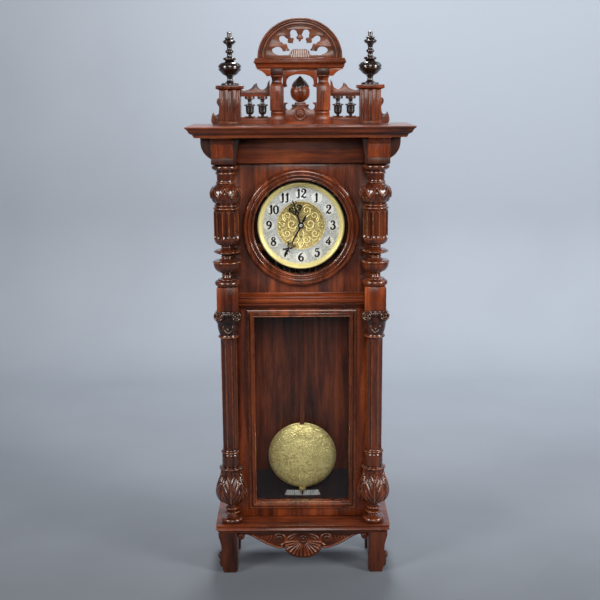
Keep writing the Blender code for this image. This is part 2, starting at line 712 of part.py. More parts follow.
def make_door_frame(wood):
    """The door's board, with a round opening for the dial and a long one for the pendulum."""
    half = CASE_WIDTH / 2
    height = (DOOR_BOTTOM, DOOR_TOP)
    door = box("door_frame", (-half, half), height, (DOOR_BACK, DOOR_FRONT), wood, pivot=DOOR_PIVOT)
    through = (DOOR_BACK - 0.01, DOOR_FRONT + 0.01)
    rebate = DOOR_BACK + GLASS_THICK + 2 * GAP
    pin = (DOOR_BACK + 0.010, DOOR_BACK + 0.014)
    opening = RING_INNER + 0.0025
    dial = [(0, through[0]), (opening + REBATE, through[0]), (opening + REBATE, rebate)]
    dial += [(opening, rebate), (opening, through[1]), (0, through[1])]
    wide = (SIGHT_HALF + REBATE, GLASS_BOTTOM - REBATE, GLASS_TOP + REBATE)
    narrow = (SIGHT_HALF, GLASS_BOTTOM, GLASS_TOP)
    steps = [(through[0], *wide), (rebate, *wide), (rebate, *narrow), (through[1], *narrow)]
    cuts = {"dial_opening": turned_out(dial, 0, DIAL_Z), "long_opening": stepped_out(steps)}
    for name, shape in cuts.items():
        combine(door, add_object(name, shape, wood, helper=True), "DIFFERENCE")
    pin_x = (-half - 0.0050, -half + 0.004)
    stub = box("hook_pin", pin_x, (HOOK_Z - 0.002, HOOK_Z + 0.002), pin, wood, helper=True)
    combine(door, stub, "UNION")


def make_door_glass(glass):
    """The round glass over the dial and the long glass over the pendulum."""
    out = (DOOR_BACK + GAP, DOOR_BACK + GAP + GLASS_THICK)
    radius = RING_INNER + 0.0025 + REBATE - GAP
    add_object("dial_glass", disc(radius, 0, DIAL_Z, out), glass, pivot=DOOR_PIVOT)
    half = SIGHT_HALF + REBATE - GAP
    z = (GLASS_BOTTOM - REBATE + GAP, GLASS_TOP + REBATE - GAP)
    box("long_glass", (-half, half), z, out, glass, pivot=DOOR_PIVOT)


def make_dial_ring(wood):
    """The reeded wooden ring on the door round the dial."""
    face = DOOR_FRONT + GAP
    width = RING_OUTER - RING_INNER
    shape = [(1.0, 0.0), (1.0, 0.35), (0.90, 0.62), (0.80, 0.60), (0.72, 0.95), (0.60, 1.0)]
    shape += [(0.48, 0.95), (0.42, 0.62), (0.30, 0.72), (0.18, 0.62), (0.12, 0.38), (0.0, 0.30), (0.0, 0.0)]
    profile = [(RING_INNER + width * across, face + RING_OUT * rise) for across, rise in shape]
    add_object("dial_ring", turned_out(profile, 0, DIAL_Z, closed=True), wood, pivot=DOOR_PIVOT)


def make_sight_moulding(wood):
    """The moulding round the long glass, mitred at its corners."""
    face = DOOR_FRONT + GAP
    inner = (SIGHT_HALF, GLASS_BOTTOM, GLASS_TOP)
    shape = bmesh.new()
    rings = []
    profile = [(0.0, 0.0), (0.0, 0.0035), (0.30, 0.0045), (0.42, 0.0065), (0.72, 0.0070), (0.85, 0.0050)]
    profile += [(1.0, 0.0045), (1.0, 0.0)]
    for across, proud in profile:
        reach = across * SIGHT_MOULDING
        half = inner[0] + reach
        low = inner[1] - reach
        high = inner[2] + reach
        y = to_y(face + proud)
        corners = ((-half, low), (half, low), (half, high), (-half, high))
        rings.append([shape.verts.new((x, y, z)) for x, z in corners])
    for here, after in zip(rings, rings[1:] + rings[:1]):
        for corner in range(4):
            turn = (corner + 1) % 4
            shape.faces.new((here[corner], here[turn], after[turn], after[corner]))
    add_object("sight_moulding", shape, wood, pivot=DOOR_PIVOT)


def make_mid_rail(wood):
    """The moulded rail across the door between the two column blocks."""
    half = COLUMN_X - BLOCK_WIDTH / 2 - GAP
    low = BLOCK_BOTTOM
    face = DOOR_FRONT + GAP
    steps = [(0, 0.0040), (0.0020, 0.0045), (0.0065, 0.0080), (0.0120, 0.0120), (0.0180, 0.0125)]
    steps += [(0.0190, 0.0090), (0.0250, 0.0085), (0.0265, 0.0130)]
    steps += [(MID_RAIL_HEIGHT - 0.0005, 0.0135), (MID_RAIL_HEIGHT, 0.0130)]
    rail = stacked(
        "mid_rail",
        [(low + rise, -half, half, face, face + proud) for rise, proud in steps],
        wood,
    )
    move_origin(rail, DOOR_PIVOT)


def move_origin(piece, pivot):
    """Put a finished piece's origin on its joint's axis without moving its shape."""
    piece.data.transform(Matrix.Translation(piece.location - Vector(pivot)))
    piece.location = pivot


def make_columns(wood, dark):
    """The three-quarter columns on the door: an upper and a lower turning and the block between."""
    face = DOOR_FRONT + GAP
    half = BLOCK_WIDTH / 2
    wide = CORNICE_WIDTH
    for name, side in SIDES.items():
        x = side * COLUMN_X
        z = (BLOCK_BOTTOM, BLOCK_TOP)
        out = (face, face + BLOCK_WIDTH)
        box(f"block_{name}", (x - half, x + half), z, out, wood, pivot=DOOR_PIVOT)
        upper = turned_up(UPPER_PROFILE, x, COLUMN_OUT, BLOCK_TOP + GAP, DOOR_TOP)
        lower = turned_up(LOWER_PROFILE, x, COLUMN_OUT, DOOR_BOTTOM, BLOCK_BOTTOM - GAP)
        for part, turning in (("upper", upper), ("lower", lower)):
            column = add_object(f"{part}_column_{name}", turning, dark, pivot=DOOR_PIVOT)
            back = box(
                f"{part}_column_back_{name}",
                (-wide, wide),
                (0, CASE_TOP),
                (DOOR_BACK - 0.1, face),
                wood,
                helper=True,
            )
            combine(column, back, "DIFFERENCE")


def make_hinges(brass):
    """The two butt hinges on the right edge of the door, each drawn as its knuckle and leaf."""
    leaf = (CASE_WIDTH / 2 + GAP, CASE_WIDTH / 2 + GAP + 0.0015)
    for name, z in (("upper", DIAL_Z), ("lower", DOOR_BOTTOM + 0.110)):
        leaf_out = (CASE_DEPTH - 0.018, CASE_DEPTH)
        hinge = box(f"hinge_{name}", leaf, (z - 0.025, z + 0.025), leaf_out, brass)
        knuckle = spun_shape(
            [(0, z - 0.027), (HINGE_RADIUS, z - 0.027), (HINGE_RADIUS, z + 0.027), (0, z + 0.027)],
            (DOOR_PIVOT[0], DOOR_PIVOT[1], 0),
            (0, 0, 1),
            12,
        )
        combine(hinge, add_object(f"knuckle_{name}", knuckle, brass, helper=True), "UNION")


def make_hook(brass):
    """The brass hook on the left side of the case, shown raised off the door's pin."""
    x = (-CASE_WIDTH / 2 - GAP - 0.0045, -CASE_WIDTH / 2 - GAP - 0.0025)
    pivot = (0, to_y(HOOK_OUT), HOOK_Z)
    reach = DOOR_BACK + 0.012 - HOOK_OUT
    outline = arc((0, 0), 0.0055, 180, 360, 8)
    outline += [(0.0065, reach - 0.0060), (0.0065, reach + 0.0070), (-0.0045, reach + 0.0070)]
    outline += [(-0.0045, reach + 0.0026), (0.0026, reach + 0.0026), (0.0026, reach - 0.0026)]
    outline += [(-0.0045, reach - 0.0026), (-0.0045, reach - 0.0060)]
    placed = [(to_y(HOOK_OUT) + across, HOOK_Z + up) for across, up in outline]
    shape = bmesh.new()
    face = shape.faces.new([shape.verts.new((x[0], y, z)) for y, z in placed])
    pushed = bmesh.ops.extrude_face_region(shape, geom=[face])
    moved = [item for item in pushed["geom"] if isinstance(item, bmesh.types.BMVert)]
    bmesh.ops.translate(shape, vec=(x[1] - x[0], 0, 0), verts=moved)
    hook = add_object("door_hook", shape, brass, pivot=pivot)
    screw = spun_shape(
        [(0, 0), (0.0032, 0), (0.0032, 0.0055), (0, 0.0055)],
        (-CASE_WIDTH / 2 - GAP, to_y(HOOK_OUT), HOOK_Z),
        (0, 0, 1),
        16,
    )
    bmesh.ops.rotate(
        screw,
        cent=(-CASE_WIDTH / 2 - GAP, to_y(HOOK_OUT), HOOK_Z),
        matrix=Matrix.Rotation(-math.pi / 2, 3, "Y"),
        verts=screw.verts,
    )
    combine(hook, add_object("hook_screw", screw, brass, helper=True), "UNION")


# ---------------------------------------------------------------- movement


def make_seatboard(wood):
    """The board across the case that the movement stands on."""
    half = CASE_WIDTH / 2 - BOARD - GAP
    z = (PLATE_BOTTOM - GAP - SEAT_THICK, PLATE_BOTTOM - GAP)
    out = (BACK_PLATE_OUT - 0.001, FRONT_PLATE_OUT + PLATE_THICK + 0.001)
    box("seatboard", (-half, half), z, out, wood)


def make_plates(brass):
    """The movement's brass plates, the pillars between them, and the pendulum's cock."""
    half = PLATE_HALF
    z = (PLATE_BOTTOM, PLATE_TOP)
    back_out = (BACK_PLATE_OUT, BACK_PLATE_OUT + PLATE_THICK)
    front_out = (FRONT_PLATE_OUT, FRONT_PLATE_OUT + PLATE_THICK)
    back = box("back_plate", (-half, half), z, back_out, brass)
    front = box("front_plate", (-half, half), z, front_out, brass)
    pillar_out = (BACK_PLATE_OUT + 0.001, FRONT_PLATE_OUT - GAP)
    for across in (-1, 1):
        for row, up in enumerate((PLATE_BOTTOM + 0.008, PLATE_TOP - 0.008)):
            pillar = disc(0.004, across * (half - 0.008), up, pillar_out, 12)
            name = f"pillar_{across}_{row}"
            combine(back, add_object(name, pillar, brass, helper=True), "UNION")
    cock_z = (SUSPENSION_Z + 0.0045, PLATE_TOP)
    cock_out = (PENDULUM_OUT - 0.006, BACK_PLATE_OUT + 0.001)
    combine(back, box("cock", (-0.012, 0.012), cock_z, cock_out, brass, helper=True), "UNION")
    back_holes = [(0, SUSPENSION_Z, 0.0015 + RUN), (HAMMER_X, HAMMER_Z, 0.0015 + RUN)]
    front_holes = [(0, DIAL_Z, 0.0040 + RUN)]
    front_holes += [(side * WINDING_X, DIAL_Z, 0.0030 + RUN) for side in SIDES.values()]
    for plate_object, holes, out in ((back, back_holes, back_out), (front, front_holes, front_out)):
        for number, (x, up, radius) in enumerate(holes):
            cutter = disc(radius, x, up, (out[0] - 0.002, out[1] + 0.002), 16)
            name = f"{plate_object.name}_hole_{number}"
            combine(plate_object, add_object(name, cutter, brass, helper=True), "DIFFERENCE")


def make_barrels(brass):
    """The two spring barrels, whose squares are reached through the dial."""
    inside = (BACK_PLATE_OUT + PLATE_THICK + 0.001, FRONT_PLATE_OUT - 0.001)
    shoulder = FRONT_PLATE_OUT + PLATE_THICK + 0.001
    end = DIAL_OUT + DIAL_THICK + 0.0015
    for name, side in SIDES.items():
        x = side * WINDING_X
        profile = [(0, inside[0]), (BARREL_RADIUS, inside[0]), (BARREL_RADIUS, inside[1])]
        profile += [(0.0030, inside[1]), (0.0030, shoulder), (0.0020, shoulder), (0.0020, end), (0, end)]
        turning = turned_out(profile, x, DIAL_Z, 24)
        add_object(f"winding_barrel_{name}", turning, brass, pivot=(x, BACK, DIAL_Z))


def toothed_wheel(name, radius, depth, teeth, x, z, out, arbor, finish):
    """A brass wheel on its steel arbor."""
    pivot = (x, BACK, z)
    outline = place(toothed(radius, depth, teeth), x, z)
    wheel = add_object(name, plate(outline, out), finish, pivot=pivot)
    pin = add_object(f"{name}_arbor", disc(0.0015, x, z, arbor, 12), finish, helper=True)
    combine(wheel, pin, "UNION")


def make_wheels(brass):
    """The centre wheel behind the hands and the escape wheel under the anchor."""
    inside = (BACK_PLATE_OUT + PLATE_THICK + 0.001, FRONT_PLATE_OUT - 0.001)
    rear = (BACK_PLATE_OUT + 0.0050, BACK_PLATE_OUT + 0.0065)
    pin = (rear[0] - 0.001, rear[1] + 0.0015)
    toothed_wheel("centre_wheel", CENTRE_WHEEL_RADIUS, 0.0015, 36, 0, DIAL_Z, rear, pin, brass)
    toothed_wheel(
        "escape_wheel",
        ESCAPE_RADIUS,
        0.0035,
        30,
        0,
        SUSPENSION_Z - ESCAPE_DROP,
        (ANCHOR_OUT + 0.0005, ANCHOR_OUT + 0.0020),
        inside,
        brass,
    )


def make_anchor(steel):
    """The anchor over the escape wheel, with the crutch that pushes the pendulum."""
    pivot = (0, BACK, SUSPENSION_Z)
    pallets = [(0, 0.004), (0.0080, 0.0010), (0.0150, -0.0100), (0.0125, -0.0120), (0.0065, -0.0040)]
    pallets += [(0, -0.0030)]
    outline = place(mirrored(pallets), 0, SUSPENSION_Z)
    anchor = add_object("anchor", plate(outline, (ANCHOR_OUT, ANCHOR_OUT + 0.0025)), steel, pivot=pivot)
    arbor = disc(0.0015, 0, SUSPENSION_Z, (PENDULUM_OUT + 0.0050, FRONT_PLATE_OUT - 0.001), 12)
    combine(anchor, add_object("anchor_arbor", arbor, steel, helper=True), "UNION")
    arm_out = (BACK_PLATE_OUT - 0.0045, BACK_PLATE_OUT - 0.0025)
    arm = box_shape((-0.0025, 0.0025), (SUSPENSION_Z - CRUTCH_LENGTH, SUSPENSION_Z + 0.003), arm_out)
    combine(anchor, add_object("crutch_arm", arm, steel, helper=True), "UNION")
    gap = ROD_HOOK_WIDTH / 2 + 0.0005
    foot_z = (SUSPENSION_Z - CRUTCH_LENGTH, SUSPENSION_Z - CRUTCH_LENGTH + 0.004)
    bar = box_shape((-gap - 0.002, gap + 0.002), foot_z, arm_out)
    combine(anchor, add_object("crutch_bar", bar, steel, helper=True), "UNION")
    for side in (-1, 1):
        prong_x = sorted((side * gap, side * (gap + 0.002)))
        prong = box_shape(prong_x, foot_z, (PENDULUM_OUT - 0.002, arm_out[1] - 0.001))
        combine(anchor, add_object(f"crutch_prong_{side}", prong, steel, helper=True), "UNION")


def make_pendulum(wood, brass, steel):
    """The hook, the wooden rod, the brass bob and the rating nut under it."""
    pivot = (0, BACK, SUSPENSION_Z)
    hook_low = SUSPENSION_Z - HOOK_STRIP
    hook_out = (PENDULUM_OUT - 0.001, PENDULUM_OUT + 0.001)
    half = ROD_HOOK_WIDTH / 2
    box("pendulum_hook", (-half, half), (hook_low, SUSPENSION_Z + 0.003), hook_out, steel, pivot=pivot)
    rod_out = (PENDULUM_OUT - ROD_THICK / 2, PENDULUM_OUT + ROD_THICK / 2)
    rod_low = BOB_Z - BOB_RADIUS + 0.004
    rod_x = (-ROD_WIDTH / 2, ROD_WIDTH / 2)
    rod = box("pendulum_rod", rod_x, (rod_low, hook_low - GAP), rod_out, wood, pivot=pivot)
    tip = turned_up(TIP_PROFILE, 0, PENDULUM_OUT, BOB_Z - BOB_RADIUS - TIP_LENGTH, rod_low + 0.003, 12)
    combine(rod, add_object("pendulum_tip", tip, brass, helper=True), "UNION")
    bob = add_object("pendulum_bob", turned_out(bob_profile(), 0, BOB_Z, 32), brass, pivot=pivot)
    slot = box(
        "bob_slot",
        (rod_x[0] - GAP, rod_x[1] + GAP),
        (BOB_Z - BOB_RADIUS - 0.01, BOB_Z + BOB_RADIUS + 0.01),
        (rod_out[0] - GAP, rod_out[1] + GAP),
        brass,
        helper=True,
    )
    combine(bob, slot, "DIFFERENCE")
    low = BOB_Z - BOB_RADIUS - 0.0065
    profile = [(0.0020 + RUN, low), (0.0070, low), (0.0075, low + 0.001), (0.0075, low + 0.0045)]
    profile += [(0.0070, low + 0.0055), (0.0020 + RUN, low + 0.0055)]
    nut = spun_shape(profile, (0, to_y(PENDULUM_OUT), 0), (0, 0, 1), 16, closed=True)
    add_object("rating_nut", nut, brass, pivot=(0, to_y(PENDULUM_OUT), low))


def bob_profile():
    """A lens with a thin rolled rim, from its back to its front."""
    half = BOB_THICK / 2
    points = [(0, PENDULUM_OUT - half)]
    points += [
        (share * BOB_RADIUS, PENDULUM_OUT - half * (1 - 0.82 * share**2))
        for share in (0.35, 0.6, 0.8, 0.94)
    ]
    points += [(BOB_RADIUS, PENDULUM_OUT - 0.0022), (BOB_RADIUS, PENDULUM_OUT + 0.0022)]
    points += [
        (share * BOB_RADIUS, PENDULUM_OUT + half * (1 - 0.82 * share**2))
        for share in (0.94, 0.8, 0.6, 0.35)
    ]
    return points + [(0, PENDULUM_OUT + half)]


def make_gong(steel):
    """The coiled gong on its post, screwed to the backboard behind the movement."""
    steps = 16 * GONG_TURNS
    start = 0.006
    path = []
    for step in range(steps + 1):
        angle = 2 * math.pi * step / 16
        radius = start + (GONG_RADIUS - start) * step / steps
        path.append((radius * math.cos(angle), GONG_Z + radius * math.sin(angle)))
    gong = add_object("gong", strip(path, 0.0025, (GONG_OUT, GONG_OUT + 0.0025)), steel)
    post = disc(0.0075, 0, GONG_Z, (BACKBOARD_THICK + GAP, GONG_OUT + 0.0035), 12)
    combine(gong, add_object("gong_post", post, steel, helper=True), "UNION")


def make_hammer(steel):
    """The strike hammer, which hangs from the back plate beside the gong."""
    pivot = (HAMMER_X, BACK, HAMMER_Z)
    head_z = GONG_Z
    arm_out = (GONG_OUT + 0.0005, GONG_OUT + 0.0020)
    arm = box_shape((HAMMER_X - 0.002, HAMMER_X + 0.002), (head_z, HAMMER_Z + 0.004), arm_out)
    hammer = add_object("strike_hammer", arm, steel, pivot=pivot)
    head_x = (HAMMER_X - 0.007, HAMMER_X + 0.006)
    head = box_shape(head_x, (head_z - 0.005, head_z + 0.005), (arm_out[0] - 0.0035, arm_out[1] + 0.0035))
    combine(hammer, add_object("hammer_head", head, steel, helper=True), "UNION")
    arbor_out = (arm_out[0] + 0.0005, FRONT_PLATE_OUT - 0.001)
    arbor = disc(0.0015, HAMMER_X, HAMMER_Z, arbor_out, 12)
    combine(hammer, add_object("hammer_arbor", arbor, steel, helper=True), "UNION")


# ---------------------------------------------------------------- dial


def make_dial(silver, brass):
    """The dial with its three holes, and the brass bezel round it."""
    out = (DIAL_OUT, DIAL_OUT + DIAL_THICK)
    dial = add_object("dial", disc(BEZEL_OUTER - 0.003, 0, DIAL_Z, out), silver)
    holes = [(0, 0, 0.0046), (-WINDING_X, 0, WINDING_HOLE), (WINDING_X, 0, WINDING_HOLE)]
    holes.append((0, -SETTING_DROP, SETTING_HOLE))
    for number, (x, drop, radius) in enumerate(holes):
        cutter = disc(radius, x, DIAL_Z + drop, (out[0] - 0.002, out[1] + 0.002), 16)
        combine(dial, add_object(f"dial_hole_{number}", cutter, silver, helper=True), "DIFFERENCE")
    low = DIAL_OUT + DIAL_THICK + GAP
    profile = [(BEZEL_INNER, low), (BEZEL_OUTER, low), (BEZEL_OUTER, low + 0.004)]
    profile += [(BEZEL_OUTER - 0.003, low + BEZEL_THICK - 0.002), (BEZEL_OUTER - 0.006, low + BEZEL_THICK)]
    profile += [(BEZEL_INNER + 0.0015, low + 0.0040), (BEZEL_INNER, low + 0.0030)]
    add_object("bezel", turned_out(profile, 0, DIAL_Z, closed=True), brass)


def make_hands(steel):
    """The hour hand on its pipe and the minute hand on its arbor."""
    pivot = (0, BACK, DIAL_Z)
    hour_out = (DIAL_OUT + DIAL_THICK + 0.0030, DIAL_OUT + DIAL_THICK + 0.0038)
    minute_out = (hour_out[1] + 0.0017, hour_out[1] + 0.0025)
    hour = [(0, 0.058), (0.0018, 0.050), (0.0085, 0.043), (0.0095, 0.038), (0.0035, 0.030)]
    hour += [(0.0020, 0.012), (0.0050, 0.005), (0.0050, -0.004), (0, -0.0065)]
    hour_hand = add_object(
        "hour_hand",
        plate(place(mirrored(hour), 0, DIAL_Z, HOUR_TURN), hour_out),
        steel,
        pivot=pivot,
    )
    pipe_out = (FRONT_PLATE_OUT - 0.0015, hour_out[1] + 0.0010)
    pipe = ring(0.0027, 0.0040, 0, DIAL_Z, pipe_out, 16)
    combine(hour_hand, add_object("hour_pipe", pipe, steel, helper=True), "UNION")
    bore = disc(0.0027, 0, DIAL_Z, (pipe_out[0] - 0.005, pipe_out[1] + 0.005), 16)
    combine(hour_hand, add_object("hour_bore", bore, steel, helper=True), "DIFFERENCE")
    minute = [(0, 0.0735), (0.0014, 0.062), (0.0070, 0.052), (0.0080, 0.046), (0.0020, 0.038)]
    minute += [(0.0014, 0.010), (0.0042, 0.004), (0.0042, -0.004), (0.0020, -0.010)]
    minute += [(0.0035, -0.018), (0, -0.0235)]
    minute_hand = add_object(
        "minute_hand",
        plate(place(mirrored(minute), 0, DIAL_Z, MINUTE_TURN), minute_out),
        steel,
        pivot=pivot,
    )
    arbor_out = (BACK_PLATE_OUT + 0.0085, minute_out[1] + 0.0022)
    arbor = disc(0.0021, 0, DIAL_Z, arbor_out, 12)
    combine(minute_hand, add_object("hand_arbor", arbor, steel, helper=True), "UNION")


def make_beat_scale(silver):
    """The engraved scale on the backboard under the pendulum's tip."""
    top = BOB_Z - BOB_RADIUS - 0.006
    outline = arc((0, SUSPENSION_Z), SUSPENSION_Z - top, 266.4, 273.6, 8)
    outline += [(0.034, top - 0.022), (-0.034, top - 0.022)]
    add_object("beat_scale", plate(outline, (BACKBOARD_THICK + GAP, BACKBOARD_THICK + 0.002)), silver)


def main():
    """Build the whole clock."""
    clear_scene()
    walnut = material("walnut", (0.10, 0.035, 0.016), 0.28)
    dark_walnut = material("dark_walnut", (0.045, 0.018, 0.010), 0.26)
    black = material("ebonised", (0.012, 0.010, 0.010), 0.22)
    brass = material("brass", (0.72, 0.55, 0.25), 0.25, 1.0)
    steel = material("steel", (0.20, 0.22, 0.28), 0.30, 1.0)
    silver = material("silvered", (0.78, 0.79, 0.80), 0.35, 0.6)
    glass = material("glass", (0.92, 0.95, 0.95), 0.03)
    make_backboard(walnut)
    make_hanger(brass)
    make_sides(walnut)
    make_plinth(walnut)
    make_cornice(walnut)
    make_frieze(walnut)
    make_corbels(walnut)
    make_feet(dark_walnut)
    make_apron(walnut)
    make_pedestals(walnut, black)
    make_galleries(dark_walnut)
    make_pilasters(walnut)
    make_crown_panel(walnut)
    make_bud(dark_walnut)
    make_entablature(walnut)
    make_lunette(walnut)
    make_scroll_brackets(dark_walnut)
    make_door_frame(walnut)
    make_door_glass(glass)
    make_dial_ring(walnut)
    make_sight_moulding(walnut)
    make_mid_rail(walnut)
    make_columns(walnut, dark_walnut)
    make_hinges(brass)
    make_hook(brass)
    make_seatboard(walnut)
    make_plates(brass)
    make_barrels(brass)
    make_wheels(brass)
    make_anchor(steel)
    make_pendulum(walnut, brass, steel)
    make_gong(steel)
    make_hammer(steel)
    make_dial(silver, brass)
    make_hands(steel)
    make_beat_scale(silver)


main()
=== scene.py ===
"""A spring-driven pendulum wall clock: its looks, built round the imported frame.

Units are metres, +Z is up and the dial faces -Y. Every piece takes its place from the frame.
"""

import math

import bpy
from mathutils import Matrix, Vector


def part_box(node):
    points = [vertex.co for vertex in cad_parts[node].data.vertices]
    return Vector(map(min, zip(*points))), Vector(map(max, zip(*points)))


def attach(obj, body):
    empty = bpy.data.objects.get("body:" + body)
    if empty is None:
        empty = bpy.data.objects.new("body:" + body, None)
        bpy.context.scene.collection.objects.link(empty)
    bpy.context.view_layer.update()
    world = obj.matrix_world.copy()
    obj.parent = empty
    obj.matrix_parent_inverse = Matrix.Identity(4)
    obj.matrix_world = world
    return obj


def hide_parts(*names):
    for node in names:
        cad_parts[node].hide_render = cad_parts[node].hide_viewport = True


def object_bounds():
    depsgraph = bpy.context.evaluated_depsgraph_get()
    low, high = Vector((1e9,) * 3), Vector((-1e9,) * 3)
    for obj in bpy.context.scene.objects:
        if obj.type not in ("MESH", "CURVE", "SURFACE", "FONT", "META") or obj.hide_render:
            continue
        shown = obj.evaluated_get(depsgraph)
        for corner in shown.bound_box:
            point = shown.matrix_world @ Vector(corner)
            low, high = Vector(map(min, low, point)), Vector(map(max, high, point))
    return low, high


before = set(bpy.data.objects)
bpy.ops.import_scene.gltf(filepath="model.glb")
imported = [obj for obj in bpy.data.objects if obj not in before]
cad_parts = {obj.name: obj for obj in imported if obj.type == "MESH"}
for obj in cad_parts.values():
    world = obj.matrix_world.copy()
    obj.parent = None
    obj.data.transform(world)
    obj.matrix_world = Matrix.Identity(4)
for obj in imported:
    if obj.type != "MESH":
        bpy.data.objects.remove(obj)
CAD_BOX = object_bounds()

bl_info = {
    "name": "Pendulum wall clock",
    "version": (1, 0, 0),
    "blender": (4, 5, 0),
    "location": "3D View > Sidebar > Wall clock",
    "description": "Builds the carved case, dial, movement and pendulum of a wall clock",
    "category": "Add Mesh",
}

SIDES = {"left": -1, "right": 1}
MM = 0.001
TURN = 2 * math.pi


class Space:
    """The box of a CAD node: its faces, its middle and its sizes."""

    def __init__(self, node):
        low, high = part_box(node)
        self.left, self.front, self.bottom = low
        self.right, self.back, self.top = high
        self.x, self.y, self.z = (low + high) / 2
        self.width, self.depth, self.height = high - low


def paint(red, green, blue):
    """A colour given as 0 to 255 on the screen, in the linear values that materials take."""
    return tuple(((c / 255 + 0.055) / 1.055) ** 2.4 if c > 10 else c / 3294 for c in (red, green, blue))


# ---------------------------------------------------------------- sizes and colours a user changes


def length(name, text, default):
    """A length that the sidebar shows with its unit."""
    return bpy.props.FloatProperty(name=name, description=text, default=default, subtype="DISTANCE")


def turn(name, text, default):
    """An angle that the sidebar shows in degrees."""
    angle = math.radians(default)
    return bpy.props.FloatProperty(name=name, description=text, default=angle, subtype="ANGLE")


def colour(name, text, default):
    """A colour that the sidebar shows as a swatch."""
    return bpy.props.FloatVectorProperty(
        name=name, description=text, default=paint(*default), size=3, min=0, max=1, subtype="COLOR"
    )


class ClockSizes(bpy.types.PropertyGroup):
    """Sizes of the carving, the dial and the hands."""

    edge: length("Eased edge", "Radius of a board's worn arris", 0.0008)
    flute_depth: length("Flute depth", "Depth of the columns' flutes", 0.0034)
    leaf_depth: length("Leaf depth", "Relief of the carved leaves", 0.0042)
    fret_edge: length("Fret edge", "Rounding of sawn frets", 0.0007)
    numeral_height: length("Numeral height", "Height of the hour numerals", 0.0178)
    numeral_radius: length("Numeral circle", "Radius of the circle that the numerals stand on", 0.0670)
    centre_radius: length("Dial centre", "Radius of the embossed brass centre", 0.0525)
    hour_angle: turn("Hour hand", "Angle of the hour hand, clockwise from twelve", -18.0)
    minute_angle: turn("Minute hand", "Angle of the minute hand, clockwise from twelve", 207.5)


class ClockColours(bpy.types.PropertyGroup):
    """Colours of the woods, metals and dial."""

    walnut_dark: colour("Walnut, dark", "Dark streaks of the polished walnut", (36, 13, 7))
    walnut_mid: colour("Walnut, middle", "Ground of the polished walnut", (92, 40, 20))
    walnut_light: colour("Walnut, light", "Light streaks of the polished walnut", (142, 70, 33))
    walnut_worn: colour("Walnut, worn", "Edges where the stain has rubbed away", (188, 110, 58))
    ebony: colour("Ebonised", "Blackened turnings", (26, 17, 14))
    brass: colour("Brass", "Polished brass", (250, 236, 164))
    brass_shade: colour("Brass, dulled", "Brass where it has dulled", (196, 178, 112))
    steel: colour("Steel", "Bright steel", (190, 192, 196))
    blued: colour("Blued steel", "Blue-black hands", (14, 16, 26))
    silver: colour("Silvered", "Silvered chapter ring", (252, 254, 255))
    silver_shade: colour("Silvered, stippled", "Stippled ground of the chapter ring", (150, 158, 168))
    backdrop: colour("Backdrop", "Floor and backdrop", (158, 166, 177))


# ---------------------------------------------------------------- shader maths


class Value:
    """A node's output that grows Math nodes when it is used in an expression."""

    def __init__(self, finish, socket):
        self.finish = finish
        self.socket = socket

    def maths(self, operation, *inputs, clamp=False):
        settings = {"operation": operation, "use_clamp": clamp}
        return self.finish.node("ShaderNodeMath", settings, dict(enumerate(inputs)))

    def __add__(self, other):
        return self.maths("ADD", self, other)

    def __sub__(self, other):
        return self.maths("SUBTRACT", self, other)

    def __mul__(self, other):
        return self.maths("MULTIPLY", self, other)

    def __truediv__(self, other):
        return self.maths("DIVIDE", self, other)

    def __rsub__(self, other):
        return self.maths("SUBTRACT", other, self)

    __radd__ = __add__
    __rmul__ = __mul__

    def sine(self):
        return self.maths("SINE", self)

    def fraction(self):
        return self.maths("FRACT", self)

    def step(self, low, high):
        """0 below low, 1 above high and an even rise between."""
        return self.maths("MULTIPLY", self - low, 1 / (high - low), clamp=True)


